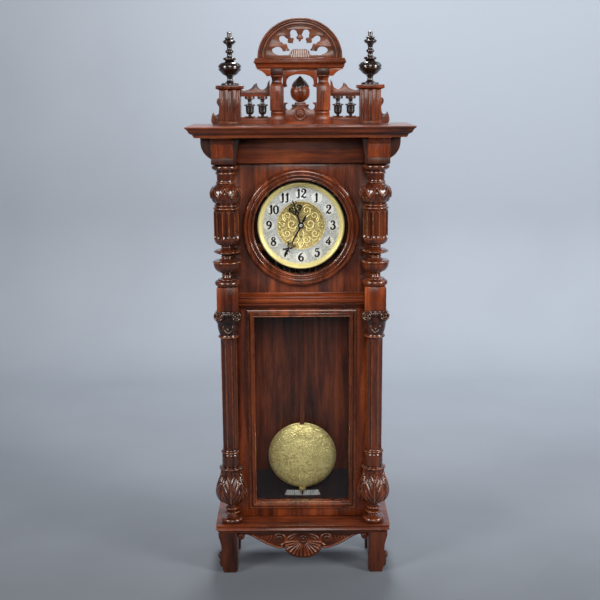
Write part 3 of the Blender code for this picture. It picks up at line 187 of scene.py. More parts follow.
class Finish:
    """A material under construction: its nodes, the shader they feed and the patterns it is made of."""

    def __init__(self, name, **plain):
        self.material = bpy.data.materials.new(name)
        self.material.use_nodes = True
        self.tree = self.material.node_tree
        self.tree.nodes.clear()
        self.shader = self.tree.nodes.new("ShaderNodeBsdfPrincipled")
        self.output = self.tree.nodes.new("ShaderNodeOutputMaterial")
        self.tree.links.new(self.shader.outputs[0], self.output.inputs["Surface"])
        self.place = self.node("ShaderNodeTexCoord", out="Object")
        self.set(**plain)

    def feed(self, node, socket, value):
        """Link a value to a socket, or set the socket where the value is a plain number or colour."""
        target = node.inputs[socket]
        if isinstance(value, Value):
            self.tree.links.new(value.socket, target)
        elif target.type == "RGBA":
            target.default_value = (*value[:3], 1)
        else:
            target.default_value = value

    def node(self, kind, settings=None, sockets=None, out=0):
        """Any node: its type, its settings, the values or links of its sockets and the output wanted."""
        made = self.tree.nodes.new(kind)
        for setting, value in (settings or {}).items():
            if setting == "stops":
                ramp = made.color_ramp.elements
                while len(ramp) < len(value):
                    ramp.new(1)
                for stop, (position, shade) in zip(ramp, value):
                    stop.position = position
                    stop.color = (*shade, 1)
            else:
                setattr(made, setting, value)
        for socket, value in (sockets or {}).items():
            self.feed(made, socket, value)
        return Value(self, made.outputs[out])

    def set(self, **sockets):
        """Feed the main shader's sockets."""
        for socket, value in sockets.items():
            self.feed(self.shader, socket.replace("_", " "), value)
        return self.material

    def mapped(self, scale=(1, 1, 1), move=(0, 0, 0)):
        """The object's own coordinates, moved and stretched."""
        sockets = {"Vector": self.place, "Scale": scale, "Location": move}
        return self.node("ShaderNodeMapping", {"vector_type": "POINT"}, sockets)

    def noise(self, scale, detail, rough, vector=None, warp=0.0):
        sockets = {"Vector": vector or self.place, "Scale": scale, "Detail": detail}
        sockets.update({"Roughness": rough, "Distortion": warp})
        return self.node("ShaderNodeTexNoise", None, sockets)

    def cells(self, scale):
        """Distance to scattered points."""
        return self.node("ShaderNodeTexVoronoi", None, {"Vector": self.place, "Scale": scale}, out="Distance")

    def ramp(self, factor, *stops):
        return self.node("ShaderNodeValToRGB", {"stops": stops}, {"Fac": factor})

    def blend(self, under, over, factor):
        """One colour laid over another by a factor."""
        settings = {"data_type": "RGBA", "blend_type": "MIX", "clamp_factor": True}
        return self.node("ShaderNodeMix", settings, {0: factor, 6: under, 7: over}, out=2)

    def parts(self, vector=None):
        """The X, Y and Z of a vector."""
        made = self.node("ShaderNodeSeparateXYZ", None, {"Vector": vector or self.place})
        return [Value(self, socket) for socket in made.socket.node.outputs]

    def bump(self, height, depth, strength=1.0):
        sockets = {"Height": height, "Distance": depth, "Strength": strength}
        return self.node("ShaderNodeBump", None, sockets)

    def edges(self):
        """0 on a flat, rising to 1 along an arris."""
        rounded = self.node("ShaderNodeBevel", {"samples": 4}, {"Radius": 0.0016})
        plain = self.node("ShaderNodeNewGeometry", out="Normal")
        settings = {"operation": "DOT_PRODUCT"}
        match = self.node("ShaderNodeVectorMath", settings, {0: rounded, 1: plain}, out="Value")
        return (1 - match).step(0.01, 0.22)

    def crests(self, low=0.5, high=0.6):
        """0 in the hollows of a carving, rising to 1 on its crests."""
        return self.node("ShaderNodeNewGeometry", out="Pointiness").step(low, high)


# the pattern's scale along X, Y and Z: small along the grain, which draws it out
GRAIN = {"up": (1, 1, 0.07), "across": (0.07, 1, 1)}


def wood(name, grain, tones, wear, carved=False, rough=0.3, coat=0.22, figure=1.0, painted_dark_below=None):
    """Polished wood: figure, streaks, fibres and open pores along the grain, rubbed at its edges.

    Below a given height the face inside the case is painted near black, a painted reflection of something
    dark in the glass in front of it."""
    dark, middle, light, worn = tones
    finish = Finish(name, Coat_Weight=coat, Coat_Roughness=0.09, IOR=1.42)
    along = finish.mapped(GRAIN[grain])
    wander = finish.noise(5, 2, 0.5, along)
    streaks = finish.noise(58, 6, 0.62, along, warp=0.6)
    fibres = finish.noise(620, 3, 0.6, along)
    pores = finish.noise(1500, 2, 0.5, along)
    clouds = finish.noise(9, 3, 0.5)
    tone = streaks * 0.80 + wander * 0.42 + fibres * 0.24 + (clouds - 0.5) * (0.18 * figure) - 0.23
    ground = finish.ramp(tone, (0.33, dark), (0.50, middle), (0.70, light))
    open_pores = pores.step(0.60, 0.68)
    ground = finish.blend(ground, dark, open_pores * 0.55)
    rubbed = finish.noise(70, 4, 0.6)
    if carved:
        ground = finish.blend(dark, ground, finish.crests(0.40, 0.50) * 0.75 + 0.25)
        edge = finish.crests(0.515, 0.60)
    else:
        edge = finish.edges()
    ground = finish.blend(ground, worn, edge * rubbed.step(0.30, 0.62) * wear)
    # painted reflection: below this height the inside face is darkened to stand for a dark reflection in the
    # glass
    if painted_dark_below:
        _, inward, rise = finish.parts(finish.mapped())
        inside = inward.step(Space("backboard").front + MM, Space("backboard").front)
        painted_band = rise.step(painted_dark_below + MM, painted_dark_below) * inside * 0.85
        ground = finish.blend(ground, paint(40, 42, 48), painted_band)
    handled = finish.noise(26, 3, 0.55)
    smear = finish.noise(190, 2, 0.5)
    height = fibres * 0.5 + handled * 0.8 - open_pores * 0.7
    return finish.set(
        Base_Color=ground,
        Roughness=handled * 0.22 + smear * 0.08 + rough - 0.11 + open_pores * 0.12,
        Normal=finish.bump(height, 0.00016, 0.55),
    )


def metal(name, bright, dulled, rough, pattern="polished", centre=None, metallic=0.6):
    """Worn metal: polished, grained, embossed, or etched with fine swirls round a centre."""
    finish = Finish(name, Metallic=metallic)
    clouds = finish.noise(24, 4, 0.55)
    specks = finish.noise(420, 3, 0.6)
    height = specks * 0.3
    depth = 0.00005
    if pattern == "etched":
        x, _, z = finish.parts(finish.mapped(move=tuple(-c for c in centre)))
        swirl = finish.noise(30, 3, 0.5, warp=2.2)
        rings = (swirl * 34 + x * 60 + z * 40).sine()
        facets = finish.cells(520)
        height = rings * 0.35 + facets * 0.9 + specks * 0.5
        clouds = clouds * 0.40 + facets * 0.42 + rings * 0.16 + 0.02
        depth = 0.0008
    if pattern == "embossed":
        swirl = finish.noise(46, 2, 0.5, warp=1.8)
        lines = (swirl * 40).sine().step(-0.2, 0.75)
        clouds = 0.70 - finish.crests(0.46, 0.56) * 0.34 - lines * 0.16 + specks * 0.1 - 0.05
        height = lines * 0.7 + specks * 0.3
        depth = 0.0003
    if pattern == "grained":
        lines = finish.noise(900, 2, 0.5, finish.mapped((1, 1, 0.02)))
        height = lines * 0.6 + specks * 0.2
    shade = finish.blend(bright, dulled, clouds.step(0.36, 0.68))
    return finish.set(
        Base_Color=shade,
        Roughness=clouds * 0.24 + specks * 0.08 + rough - 0.12,
        Normal=finish.bump(height, depth, 0.6),
    )


def clear_glass():
    """Old window glass: a clear sheet with reflections, faint waves and dust."""
    finish = Finish("glass")
    waves = finish.noise(7, 2, 0.5)
    dust = finish.noise(320, 3, 0.6)
    bowed = finish.bump(waves, 0.0012, 0.35)
    polish = {"Roughness": 0.02, "Color": (1, 1, 1), "Normal": bowed}
    shiny = finish.node("ShaderNodeBsdfGlossy", None, polish)
    clear = finish.node("ShaderNodeBsdfTransparent", None, {"Color": (0.99, 0.995, 0.99)})
    mirror = finish.node("ShaderNodeFresnel", None, {"IOR": 1.48})
    amount = mirror * 0.32 + dust.step(0.70, 0.98) * 0.01
    sheet = finish.node("ShaderNodeMixShader", None, {0: amount, 1: clear, 2: shiny})
    finish.tree.links.new(sheet.socket, finish.output.inputs["Surface"])
    return finish.material


def silvered(bright, shade, centre, numerals, radius):
    """Silvered dial ring: stippled ornament that leaves a pale plaque behind each numeral."""
    finish = Finish("silvered", Metallic=0.08)
    x, _, z = finish.parts(finish.mapped(move=tuple(-c for c in centre)))
    angle = finish.node("ShaderNodeMath", {"operation": "ARCTAN2"}, {0: x, 1: z})
    out = (x * x + z * z).maths("SQRT", x * x + z * z)
    sector = (angle * (12 / TURN) + 12.5).fraction() - 0.5
    side = sector * (radius * TURN / 12)
    rise = (out - radius) / numerals
    oval = (side / (numerals * 0.86)) * (side / (numerals * 0.86)) + rise * rise * 1.5
    wreath = finish.noise(120, 3, 0.5, warp=1.6)
    plaque = (oval + wreath * 0.5).step(0.92, 0.70)
    stipple = finish.cells(1150).step(0.30, 0.62)
    leaves = (wreath * 26).sine().step(-0.35, 0.25)
    ground = (1 - plaque) * (stipple * 0.55 + leaves * 0.40)
    clouds = finish.noise(40, 4, 0.5)
    tone = finish.blend(bright, shade, ground * 0.85 + clouds * 0.10)
    return finish.set(
        Base_Color=tone,
        Roughness=clouds * 0.2 + 0.28,
        Normal=finish.bump(ground, 0.00022, 0.5),
    )


def studio_paper(shade):
    """Matt paper of the floor and backdrop, with a faint unevenness and painted shade: darker towards the
    front and the left, lighter up the backdrop.
    """
    finish = Finish("studio_paper", Specular_IOR_Level=0.25)
    clouds = finish.noise(2.5, 3, 0.5)
    across, deep, high = finish.parts(finish.mapped())
    # painted shade: the paper darkens towards the front and the left and lightens higher up, with a faint
    # mottling on top
    painted_shade_and_mottling = deep.step(1.9, -0.55) * 0.98 + across.step(1.4, -1.6) * 0.26 + clouds.step(0.3, 0.7) * 0.08
    tone = finish.blend(shade, tuple(c * 0.30 for c in shade), painted_shade_and_mottling - high.step(0.2, 1.6) * 0.30)
    return finish.set(Base_Color=tone, Roughness=clouds * 0.15 + 0.6)


MATERIALS = {}
SLOTS = {  # the slot of each finish that isn't plain walnut
    "apron": "dark_walnut",
    "bezel_brass": "brass",
    "blued": "steel",
    "brass": "brass",
    "capital": "dark_walnut",
    "painted_shade_walnut": "dark_walnut",
    "dial_brass": "brass",
    "ebonised": "ebonised",
    "etched_brass": "brass",
    "numeral_black": "ebonised",
    "silver_plate": "silvered",
    "silvered": "silvered",
    "steel": "steel",
    "turned": "dark_walnut",
}


def toned(tones, *shares):
    """Shades multiplied by one share, or by a share for each of red, green and blue."""
    shares = shares if len(shares) == 3 else shares * 3
    return tuple(tuple(min(1, v * k) for v, k in zip(shade, shares)) for shade in tones)


def make_materials():
    """Every finish of the clock, by the name that pieces ask for."""
    c = bpy.context.scene.clock_colours
    sizes = bpy.context.scene.clock_sizes
    tones = (c.walnut_dark, c.walnut_mid, c.walnut_light, c.walnut_worn)
    tones = tuple(tuple(shade) for shade in tones)
    worn = tones[3]
    deep = (*toned(tones[:3], 0.62), worn)
    # shaded: the walnut darkened as painted shade, for the feet, the apron, the corbels' undersides and sides
    # and the pilasters' caps
    shaded = (*toned(tones[:3], 0.36), tones[2])
    warm = toned(tones, 1.12, 1.0, 0.74)
    murky = toned(tones, 0.26, 0.30, 0.36)
    # pale grey tones of dust with a painted highlight, for the palmette's ribs and the bud's bosses
    dust_and_highlight_tones = (paint(38, 26, 22), paint(128, 112, 104), paint(170, 158, 150), paint(214, 204, 196))
    ebony = (*toned((c.ebony,), 0.5), tuple(c.ebony), *toned((c.ebony,), 4), tones[2])
    # the back board's stronger figure, and the height below which its inside face carries a painted dark
    # reflection
    painted_band = {"figure": 2.0, "painted_dark_below": 0.186}
    woods = {  # grain, tones, wear, carved or not, roughness, coat and figure
        "walnut_up": ("up", tones, 0.7, False, 0.3, 0.22, 2.6),
        "walnut_across": ("across", tones, 0.7, False, 0.3, 0.22, 2.6),
        "warm_up": ("up", warm, 0.6, False, 0.24),
        "warm_across": ("across", warm, 0.6, False, 0.24),
        "carved_across": ("across", deep, 0.5, True),
        "capital": ("up", murky, 0.6, True, 0.2, 0.6),
        # the next two finishes use the shaded tones: painted shade
        "painted_shade_walnut": ("up", shaded, 0.3, False, 0.34, 0.1),
        "apron": ("across", shaded, 0.75, True),
        "carved_up_light": ("up", tones, 0.9, False, 0.18, 0.7),
        "ring_wood": ("up", tones, 0.6, False, 0.14, 0.9),
        "dust_and_painted_highlight": ("up", dust_and_highlight_tones, 0.6, True),
        "turned": ("up", deep, 0.75, True, 0.17, 0.7),
        "ebonised": ("up", ebony, 0.3, True, 0.16, 0.9),
        "rod": ("up", deep, 0.4),
    }
    for name, settings in woods.items():
        MATERIALS[name] = wood(name, *settings)
    MATERIALS["back_board"] = wood("back_board", "up", tones, 0.3, rough=0.34, coat=0.2, **painted_band)
    bright, dulled, steel, blued = (tuple(shade) for shade in (c.brass, c.brass_shade, c.steel, c.blued))
    silver, stippled = tuple(c.silver), tuple(c.silver_shade)
    bob, dial = Space("pendulum_bob"), Space("dial")
    bob_centre, dial_centre = (bob.x, bob.y, bob.z), (dial.x, dial.y, dial.z)
    metals = {  # bright and dulled colour, roughness, pattern, the pattern's centre and metallic
        "brass": (bright, dulled, 0.2),
        "etched_brass": (bright, dulled, 0.30, "etched", bob_centre, 0.5),
        "dial_brass": (bright, paint(158, 136, 84), 0.36, "embossed", None, 0.35),
        "bezel_brass": (tuple(v * 1.04 for v in bright), bright, 0.3, "polished", None, 0.3),
        "numeral_black": (paint(10, 10, 14), paint(4, 4, 6), 0.4),
        "steel": (steel, tuple(v * 0.6 for v in steel), 0.25, "grained"),
        "blued": (blued, tuple(v * 0.4 for v in blued), 0.24),
        "silver_plate": (silver, stippled, 0.4, "grained", None, 0.0),
    }
    for name, settings in metals.items():
        MATERIALS[name] = metal(name, *settings)
    numerals = (sizes.numeral_height, sizes.numeral_radius)
    MATERIALS["silvered"] = silvered(silver, stippled, dial_centre, *numerals)
    MATERIALS["glass"] = clear_glass()
    MATERIALS["paper"] = studio_paper(tuple(c.backdrop))


# ---------------------------------------------------------------- modelling tools


def work_on(*pieces):
    """Leave edit mode and select just these pieces."""
    if bpy.context.mode != "OBJECT":
        bpy.ops.object.mode_set(mode="OBJECT")
    bpy.ops.object.select_all(action="DESELECT")
    for piece in pieces:
        piece.select_set(True)
    if pieces:
        bpy.context.view_layer.objects.active = pieces[0]


def edit(piece, all_of_it=True):
    """Enter edit mode on a piece, with all or none of it selected."""
    work_on(piece)
    bpy.ops.object.mode_set(mode="EDIT")
    bpy.ops.mesh.select_all(action="SELECT" if all_of_it else "DESELECT")


def done(piece, doubles=1e-5):
    """Merge what meets, turn the faces outwards and leave edit mode."""
    edit(piece)
    bpy.ops.mesh.remove_doubles(threshold=doubles)
    bpy.ops.mesh.normals_make_consistent(inside=False)
    bpy.ops.object.mode_set(mode="OBJECT")
    return piece


def started(name, place):
    """A new mesh that is a single selected point, in edit mode, its object at the origin."""
    work_on()
    bpy.ops.mesh.primitive_plane_add(size=MM, location=place)
    piece = bpy.context.object
    piece.name = piece.data.name = name
    bpy.ops.object.transform_apply()
    edit(piece)
    bpy.ops.mesh.merge(type="CENTER")
    return piece


def drawn(name, points):
    """A chain of edges through points, left in edit mode and selected."""
    piece = started(name, points[0])
    for before, after in zip(points, points[1:]):
        step = Vector(after) - Vector(before)
        bpy.ops.mesh.extrude_region_move(TRANSFORM_OT_translate={"value": step})
    bpy.ops.mesh.select_all(action="SELECT")
    return piece


def moulded(points, steps=6):
    """A profile with its round stretches filled in.

    A third number bows the stretch before that point outwards, or inwards if it is negative, as
    a share of the stretch; half is a half-round.
    """
    profile = [points[0][:2]]
    for point in points[1:]:
        (a0, b0), (a1, b1) = profile[-1], point[:2]
        bow = point[2] if len(point) > 2 else 0
        if bow:
            for i in range(1, steps):
                angle = math.pi * i / steps
                t = (1 - math.cos(angle)) / 2 if abs(bow) > 0.3 else i / steps
                lift = bow * (math.sin(angle) if abs(bow) > 0.3 else 4 * t * (1 - t))
                a = a0 + (a1 - a0) * t - (b1 - b0) * lift
                b = b0 + (b1 - b0) * t + (a1 - a0) * lift
                profile.append((a, b))
        profile.append((a1, b1))
    return profile


def raised(points):
    """A moulded profile of a ring, its bows standing out from the face."""
    return moulded([(p[0], p[1], *[-v for v in p[2:]]) for p in points])


def refined(profile, longest):
    """The same profile with no stretch longer than this."""
    fine = [profile[0]]
    for (a0, b0), (a1, b1) in zip(profile, profile[1:]):
        count = max(1, math.ceil(math.hypot(a1 - a0, b1 - b0) / longest))
        fine += [(a0 + (a1 - a0) * i / count, b0 + (b1 - b0) * i / count) for i in range(1, count + 1)]
    return fine


def turned(name, profile, centre, sides, facing="up"):
    """A profile of (height, radius) spun into a closed turning that stands up or faces the front."""
    x, y, z = centre
    profile = [(profile[0][0], 0), *profile, (profile[-1][0], 0)]
    if facing == "up":
        points = [(x + r, y, z + h) for h, r in profile]
        axis = (0, 0, 1)
    else:
        points = [(x + r, y - h, z) for h, r in profile]
        axis = (0, 1, 0)
    piece = drawn(name, points)
    bpy.ops.mesh.spin(steps=sides, angle=TURN, center=centre, axis=axis)
    return done(piece, 1e-6)


def ring(name, profile, centre, sides):
    """A closed profile of (height, radius) spun into a ring that faces the front."""
    x, y, z = centre
    piece = drawn(name, [(x + r, y - h, z) for h, r in [*profile, profile[0]]])
    bpy.ops.mesh.spin(steps=sides, angle=TURN, center=centre, axis=(0, 1, 0))
    return done(piece, 1e-6)


def prism(name, outline, axis, start, end):
    """A closed outline drawn across an axis and extruded along it. A corner is (a, b) across the axis."""
    order = {"x": lambda a, b, c: (c, a, b), "y": lambda a, b, c: (a, c, b), "z": lambda a, b, c: (a, b, c)}
    at = order[axis]
    piece = drawn(name, [at(a, b, start) for a, b in outline])
    bpy.ops.mesh.edge_face_add()
    bpy.ops.mesh.extrude_region_move(TRANSFORM_OT_translate={"value": at(0, 0, end - start)})
    return done(piece, 1e-7)


def stacked(name, levels):
    """A closed block drawn up through rectangles, each (height, left, right, front, back)."""
    z, left, right, front, back = levels[0]
    work_on()
    bpy.ops.mesh.primitive_plane_add(size=1, location=((left + right) / 2, (front + back) / 2, z))
    piece = bpy.context.object
    piece.name = piece.data.name = name
    piece.scale = (right - left, back - front, 1)
    bpy.ops.object.transform_apply()
    edit(piece)
    for level in levels[1:]:
        z1, left1, right1, front1, back1 = level
        middle = Vector(((left + right) / 2, (front + back) / 2, z))
        shift = Vector(((left1 + right1) / 2, (front1 + back1) / 2, z1)) - middle
        bpy.ops.mesh.extrude_region_move(TRANSFORM_OT_translate={"value": shift})
        grow = ((right1 - left1) / (right - left), (back1 - front1) / (back - front), 1)
        bpy.ops.transform.resize(value=grow, center_override=middle + shift)
        z, left, right, front, back = level
    return done(piece, 1e-7)


def finished(piece, *modifiers):
    """Apply modifiers, each (type, settings), to a piece."""
    work_on(piece)
    for kind, settings in modifiers:
        modifier = piece.modifiers.new(kind.title(), kind)
        for setting, value in settings.items():
            setattr(modifier, setting, value)
        bpy.ops.object.modifier_apply(modifier=modifier.name)
    return piece


def eased(piece, width=None, angle=30):
    """Round a piece's sharp edges a little."""
    width = width or bpy.context.scene.clock_sizes.edge
    limit = {"width": width, "segments": 2, "limit_method": "ANGLE", "angle_limit": math.radians(angle)}
    return finished(piece, ("BEVEL", {**limit, "use_clamp_overlap": True}))


def carved(piece, depth, pattern):
    """Raise a piece's surface by depth where pattern(point) is 1, and leave it where it is 0."""
    group = piece.vertex_groups.new(name="relief")
    for vertex in piece.data.vertices:
        weight = pattern(vertex.co)
        if weight > 0:
            group.add([vertex.index], min(weight, 1), "REPLACE")
    finished(piece, ("DISPLACE", {"strength": depth, "mid_level": 0, "vertex_group": "relief"}))
    piece.vertex_groups.clear()
    return piece


def joined(name, pieces):
    """Several pieces made one."""
    work_on(*pieces)
    if len(pieces) > 1:
        bpy.ops.object.join()
    pieces[0].name = pieces[0].data.name = name
    return pieces[0]



def curve(name, splines, **settings):
    """A curve object of splines, each (points, closed), with a point (x, y, z, radius, corner)."""
    data = bpy.data.curves.new(name, "CURVE")
    for setting, value in settings.items():
        setattr(data, setting, value)
    for points, closed in splines:
        spline = data.splines.new("BEZIER")
        spline.bezier_points.add(len(points) - 1)
        spline.use_cyclic_u = closed
        spline.resolution_u = data.resolution_u
        for knot, (x, y, z, radius, corner) in zip(spline.bezier_points, points):
            knot.co = (x, y, z)
            knot.radius = radius
            knot.handle_left_type = knot.handle_right_type = "VECTOR" if corner else "AUTO"
    piece = bpy.data.objects.new(name, data)
    bpy.context.collection.objects.link(piece)
    work_on(piece)
    bpy.ops.object.convert(target="MESH")
    return bpy.context.object


def fret(name, loops, centre, thick, edge=None):
    """A sawn board facing the front: closed loops of (x, z) or (x, z, corner) round a centre.

    A loop inside another is a hole. Its front and back are half its thickness from the centre.
    """
    edge = bpy.context.scene.clock_sizes.fret_edge if edge is None else edge
    splines = [([(p[0], p[1], 0, 1, len(p) > 2) for p in loop], True) for loop in loops]
    settings = {"dimensions": "2D", "fill_mode": "BOTH", "extrude": thick / 2 - edge, "resolution_u": 6}
    piece = curve(name, splines, bevel_depth=edge, bevel_resolution=1, offset=-edge, **settings)
    piece.rotation_euler = (math.pi / 2, 0, 0)
    piece.location = centre
    bpy.ops.object.transform_apply()
    return done(piece, 1e-6)


def strokes(name, paths, centre, flat=1.0, fine=3):
    """Round strokes that taper: each path is (x, z, radius) points round a centre, flattened in depth."""
    splines = [([(x, 0, z, r, False) for x, z, r in path], False) for path in paths]
    settings = {"dimensions": "3D", "bevel_depth": 1.0, "bevel_resolution": fine - 1, "resolution_u": 5}
    piece = curve(name, splines, use_fill_caps=True, **settings)
    piece.scale = (1, flat, 1)
    piece.location = centre
    bpy.ops.object.transform_apply()
    return done(piece, 1e-7)


def spiral(x, z, radius, start, turns, thick, points=12):
    """Points of a scroll that winds in from its radius at a start angle; negative turns wind clockwise."""
    path = []
    for i in range(points + 1):
        t = i / points
        r = radius * (1 - 0.82 * t)
        angle = math.radians(start) + TURN * turns * t
        path.append((x + r * math.cos(angle), z + r * math.sin(angle), thick * (1 - 0.35 * t)))
    return path


def arc(x, z, radius, start, end, steps=8, rise=None):
    """Points of an arc in degrees, anticlockwise from +X if end is above start."""
    rise = rise or radius
    angles = [math.radians(start + (end - start) * i / steps) for i in range(steps + 1)]
    return [(x + radius * math.cos(a), z + rise * math.sin(a)) for a in angles]



def placed(piece, finish, body, *nodes, slot=None, smooth=35):
    """Give a piece its finish, ride it on its body and let it stand for CAD nodes."""
    piece.data.materials.clear()
    piece.data.materials.append(MATERIALS[finish])
    work_on(piece)
    bpy.ops.object.shade_smooth_by_angle(angle=math.radians(smooth))
    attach(piece, body)
    if nodes:
        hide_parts(*nodes)
    slot = slot or SLOTS.get(finish, "walnut")
    return piece


def refinished(node, finish):
    """Give a CAD node a better finish."""
    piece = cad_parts[node]
    for place in piece.material_slots:
        place.material = MATERIALS[finish]


def softened(node, finish, body, width=None, split=None):
    """A copy of a CAD board with its corners eased, standing for the node."""
    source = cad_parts[node]
    work_on()
    piece = bpy.data.objects.new(f"{node}_board", source.data.copy())
    bpy.context.collection.objects.link(piece)
    done(piece, 2e-6)
    edit(piece)
    bpy.ops.mesh.dissolve_limited(angle_limit=math.radians(1))
    bpy.ops.object.mode_set(mode="OBJECT")
    eased(piece, width)
    if split:
        edit(piece)
        bpy.ops.mesh.bisect(plane_co=(0, 0, split), plane_no=(0, 0, 1))
        bpy.ops.object.mode_set(mode="OBJECT")
    return placed(piece, finish, body, node)


def polar(x, z, *points):
    """Points given round a middle as (degrees clockwise from upright, distance), or with a corner's mark."""
    made = []
    for degrees, distance, *corner in points:
        angle = math.radians(degrees)
        made.append((x + distance * math.sin(angle), z + distance * math.cos(angle), *corner))
    return made


def both_sides(half):
    """A loop from its right half: points on the centre line aren't repeated."""
    other = [(-p[0], *p[1:]) for p in reversed(half) if abs(p[0]) > 1e-7]
    return list(half) + other


def scaled(points):
    """Points drawn in millimetres, in metres."""
    return [(p[0] * MM, p[1] * MM, *p[2:]) for p in points]


def shifted(points, x, z):
    """Points moved across and up."""
    return [(p[0] + x, p[1] + z, *p[2:]) for p in points]


def metres(path, side=1):
    """A stroke drawn in millimetres, in metres, and turned over left to right where side is -1."""
    return [(side * x * MM, z * MM, r * MM) for x, z, r in path]


def on_face(name, paths, centre, flat, fine=2):
    """Strokes given in millimetres, laid on a face."""
    return strokes(name, [metres(path) for path in paths], centre, flat, fine)


def spun(name, profile, centre, sides):
    """A turning that faces the front, from a moulded profile in millimetres."""
    return turned(name, scaled(moulded(profile)), centre, sides, "front")


def stepped(name, at, steps, edge, across=1.0, behind=0.0, stretched=False):
    """A block in a node's box whose faces step in by the insets of a (height, inset) profile.

    A stretched profile is as high as the box; any other is in millimetres from the bottom.
    """
    levels = []
    for height, inset in steps:
        z = at.bottom + (height / steps[-1][0] * at.height if stretched else height * MM)
        side, front, back = inset * across * MM, inset * MM, inset * behind * MM
        levels.append((z, at.left + side, at.right - side, at.front + front, at.back - back))
    return eased(stacked(name, levels), edge)


def refaced(piece, *finishes, choose):
    """Add finishes to a piece, and give each face the one that choose(its middle) numbers."""
    for finish in finishes:
        piece.data.materials.append(MATERIALS[finish])
    for face in piece.data.polygons:
        face.material_index = int(choose(face.center))


# ---------------------------------------------------------------- crown


class CLOCK_OT_lunette(bpy.types.Operator):
    """The arched crest: a moulded rim round a sawn fan, with a ribbed palmette at its foot"""

    bl_idname = "wall_clock.lunette"
    bl_label = "Lunette"

    def execute(self, context):
        at = Space("lunette")
        half, rise = at.width / 2, at.height
        rim = [(-half, 0, 1), (half, 0, 1), *arc(0, 0, half, 2, 178, 22, rise)]
        fan = [
            (0, 22.8, 1), (5.5, 25), (6, 27.4), (11.5, 28.6), (13.2, 31.6), (9.5, 34.2), (6.6, 36.2),
            (8.2, 40.9), (10.1, 45.6), (15.2, 48.5), (21.3, 48.2), (26, 44.7), (27.4, 40.4), (30.2, 36.8),
            (24.6, 33.8), (23.2, 30.6), (27.6, 28.2), (31.5, 26.8), (35, 23.2, 1), (39.8, 26.4), (43.6, 28),
            (48.4, 31), (46.4, 34.2), (41.2, 36.8), (42.6, 41.2), (43, 46), (47, 50.5), (51.5, 52),
            (56.5, 50.3), (59.5, 46.5), (59, 41.5), (61, 38), (57, 35), (56.4, 31.5), (60.8, 29),
            (65.4, 26.8), (72, 21.8, 1), (79.2, 24.4), (78.6, 28), (82.4, 31), (82.6, 34.8), (76.6, 37.6),
            (73.6, 41), (74, 47), (78, 53.4), (83.4, 57), (88.4, 54), (93, 46), (96, 34), (99, 22, 1),
            (82, 19.6), (60, 15.2), (30, 10), (0, 8),
        ]
        hole = both_sides(scaled(polar(0, 9, *fan)))
        front = at.front
        pieces = [fret("lunette_board", [rim, hole], (0, at.y + 0.002, at.bottom), at.depth - 0.006)]
        steps = ((1.0, 0.952, 0.0062), (0.945, 0.91, 0.0042), (0.89, 0.84, 0.0064), (0.835, 0.80, 0.0030))
        for i, (outer, inner, proud) in enumerate(steps):
            out = arc(0, 0, half * outer, 0, 180, 24, rise * outer)
            back = arc(0, 0, half * inner, 180, 0, 24, rise * inner)
            ends = [
                (p[0], p[1], 1) if j in (0, 24) else p for band in (out, back) for j, p in enumerate(band)
            ]
            middle = (0, front + 0.0052 - proud / 2, at.bottom)
            pieces.append(fret(f"rim_{i}", [ends], middle, proud + 0.001, 0.0008))
        placed(joined("lunette_fret", pieces), "carved_across", "case", "lunette")
        ribs = []
        for i in range(11):
            x = (i - 5) * 3.9
            top = 18.8 - 0.020 * x * x
            ribs.append(metres([(x * 0.86, 1.5, 1.1), (x * 0.95, top * 0.6, 1.4), (x, top, 0.8)]))
        # the palmette's ribs are painted pale grey: dust and a painted highlight
        placed(strokes("palmette", ribs, (0, front + 0.006, at.bottom), 1.6), "dust_and_painted_highlight", "case")
        return {"FINISHED"}


class CLOCK_OT_entablature(bpy.types.Operator):
    """The moulded bar under the arch, with round ends and hollow brackets beneath them"""

    bl_idname = "wall_clock.entablature"
    bl_label = "Entablature"

    def execute(self, context):
        at = Space("entablature")
        half = at.width / 2
        levels = []
        steps = [
            (0, 9), (2, 8.2), (2.4, 5.4), (12, -0.2, 0.2), (17.2, 1.6, 0.16), (18, 3.6), (20.4, 3.8),
            (21.2, 4.4),
        ]
        for z, inset in moulded(steps):
            side = half - inset * 0.8 * MM
            levels.append((at.bottom + z * MM, -side, side, at.front + inset * 0.9 * MM, at.back))
        bar = eased(stacked("bar", levels), 0.0006)
        hollow = [(60, 0, 1), (89, 0, 1), (84, -2.5), (77, -6), (71.5, -10.5), (68, -15, 1), (60, -15, 1)]
        hollow = shifted(scaled(hollow), 0, at.bottom)
        loops = [hollow, [(-p[0], *p[1:]) for p in reversed(hollow)]]
        brackets = fret("hollow_brackets", loops, (0, at.y, 0), at.depth * 0.55)
        placed(joined("entablature_bar", [bar, brackets]), "warm_across", "case", "entablature")
        return {"FINISHED"}


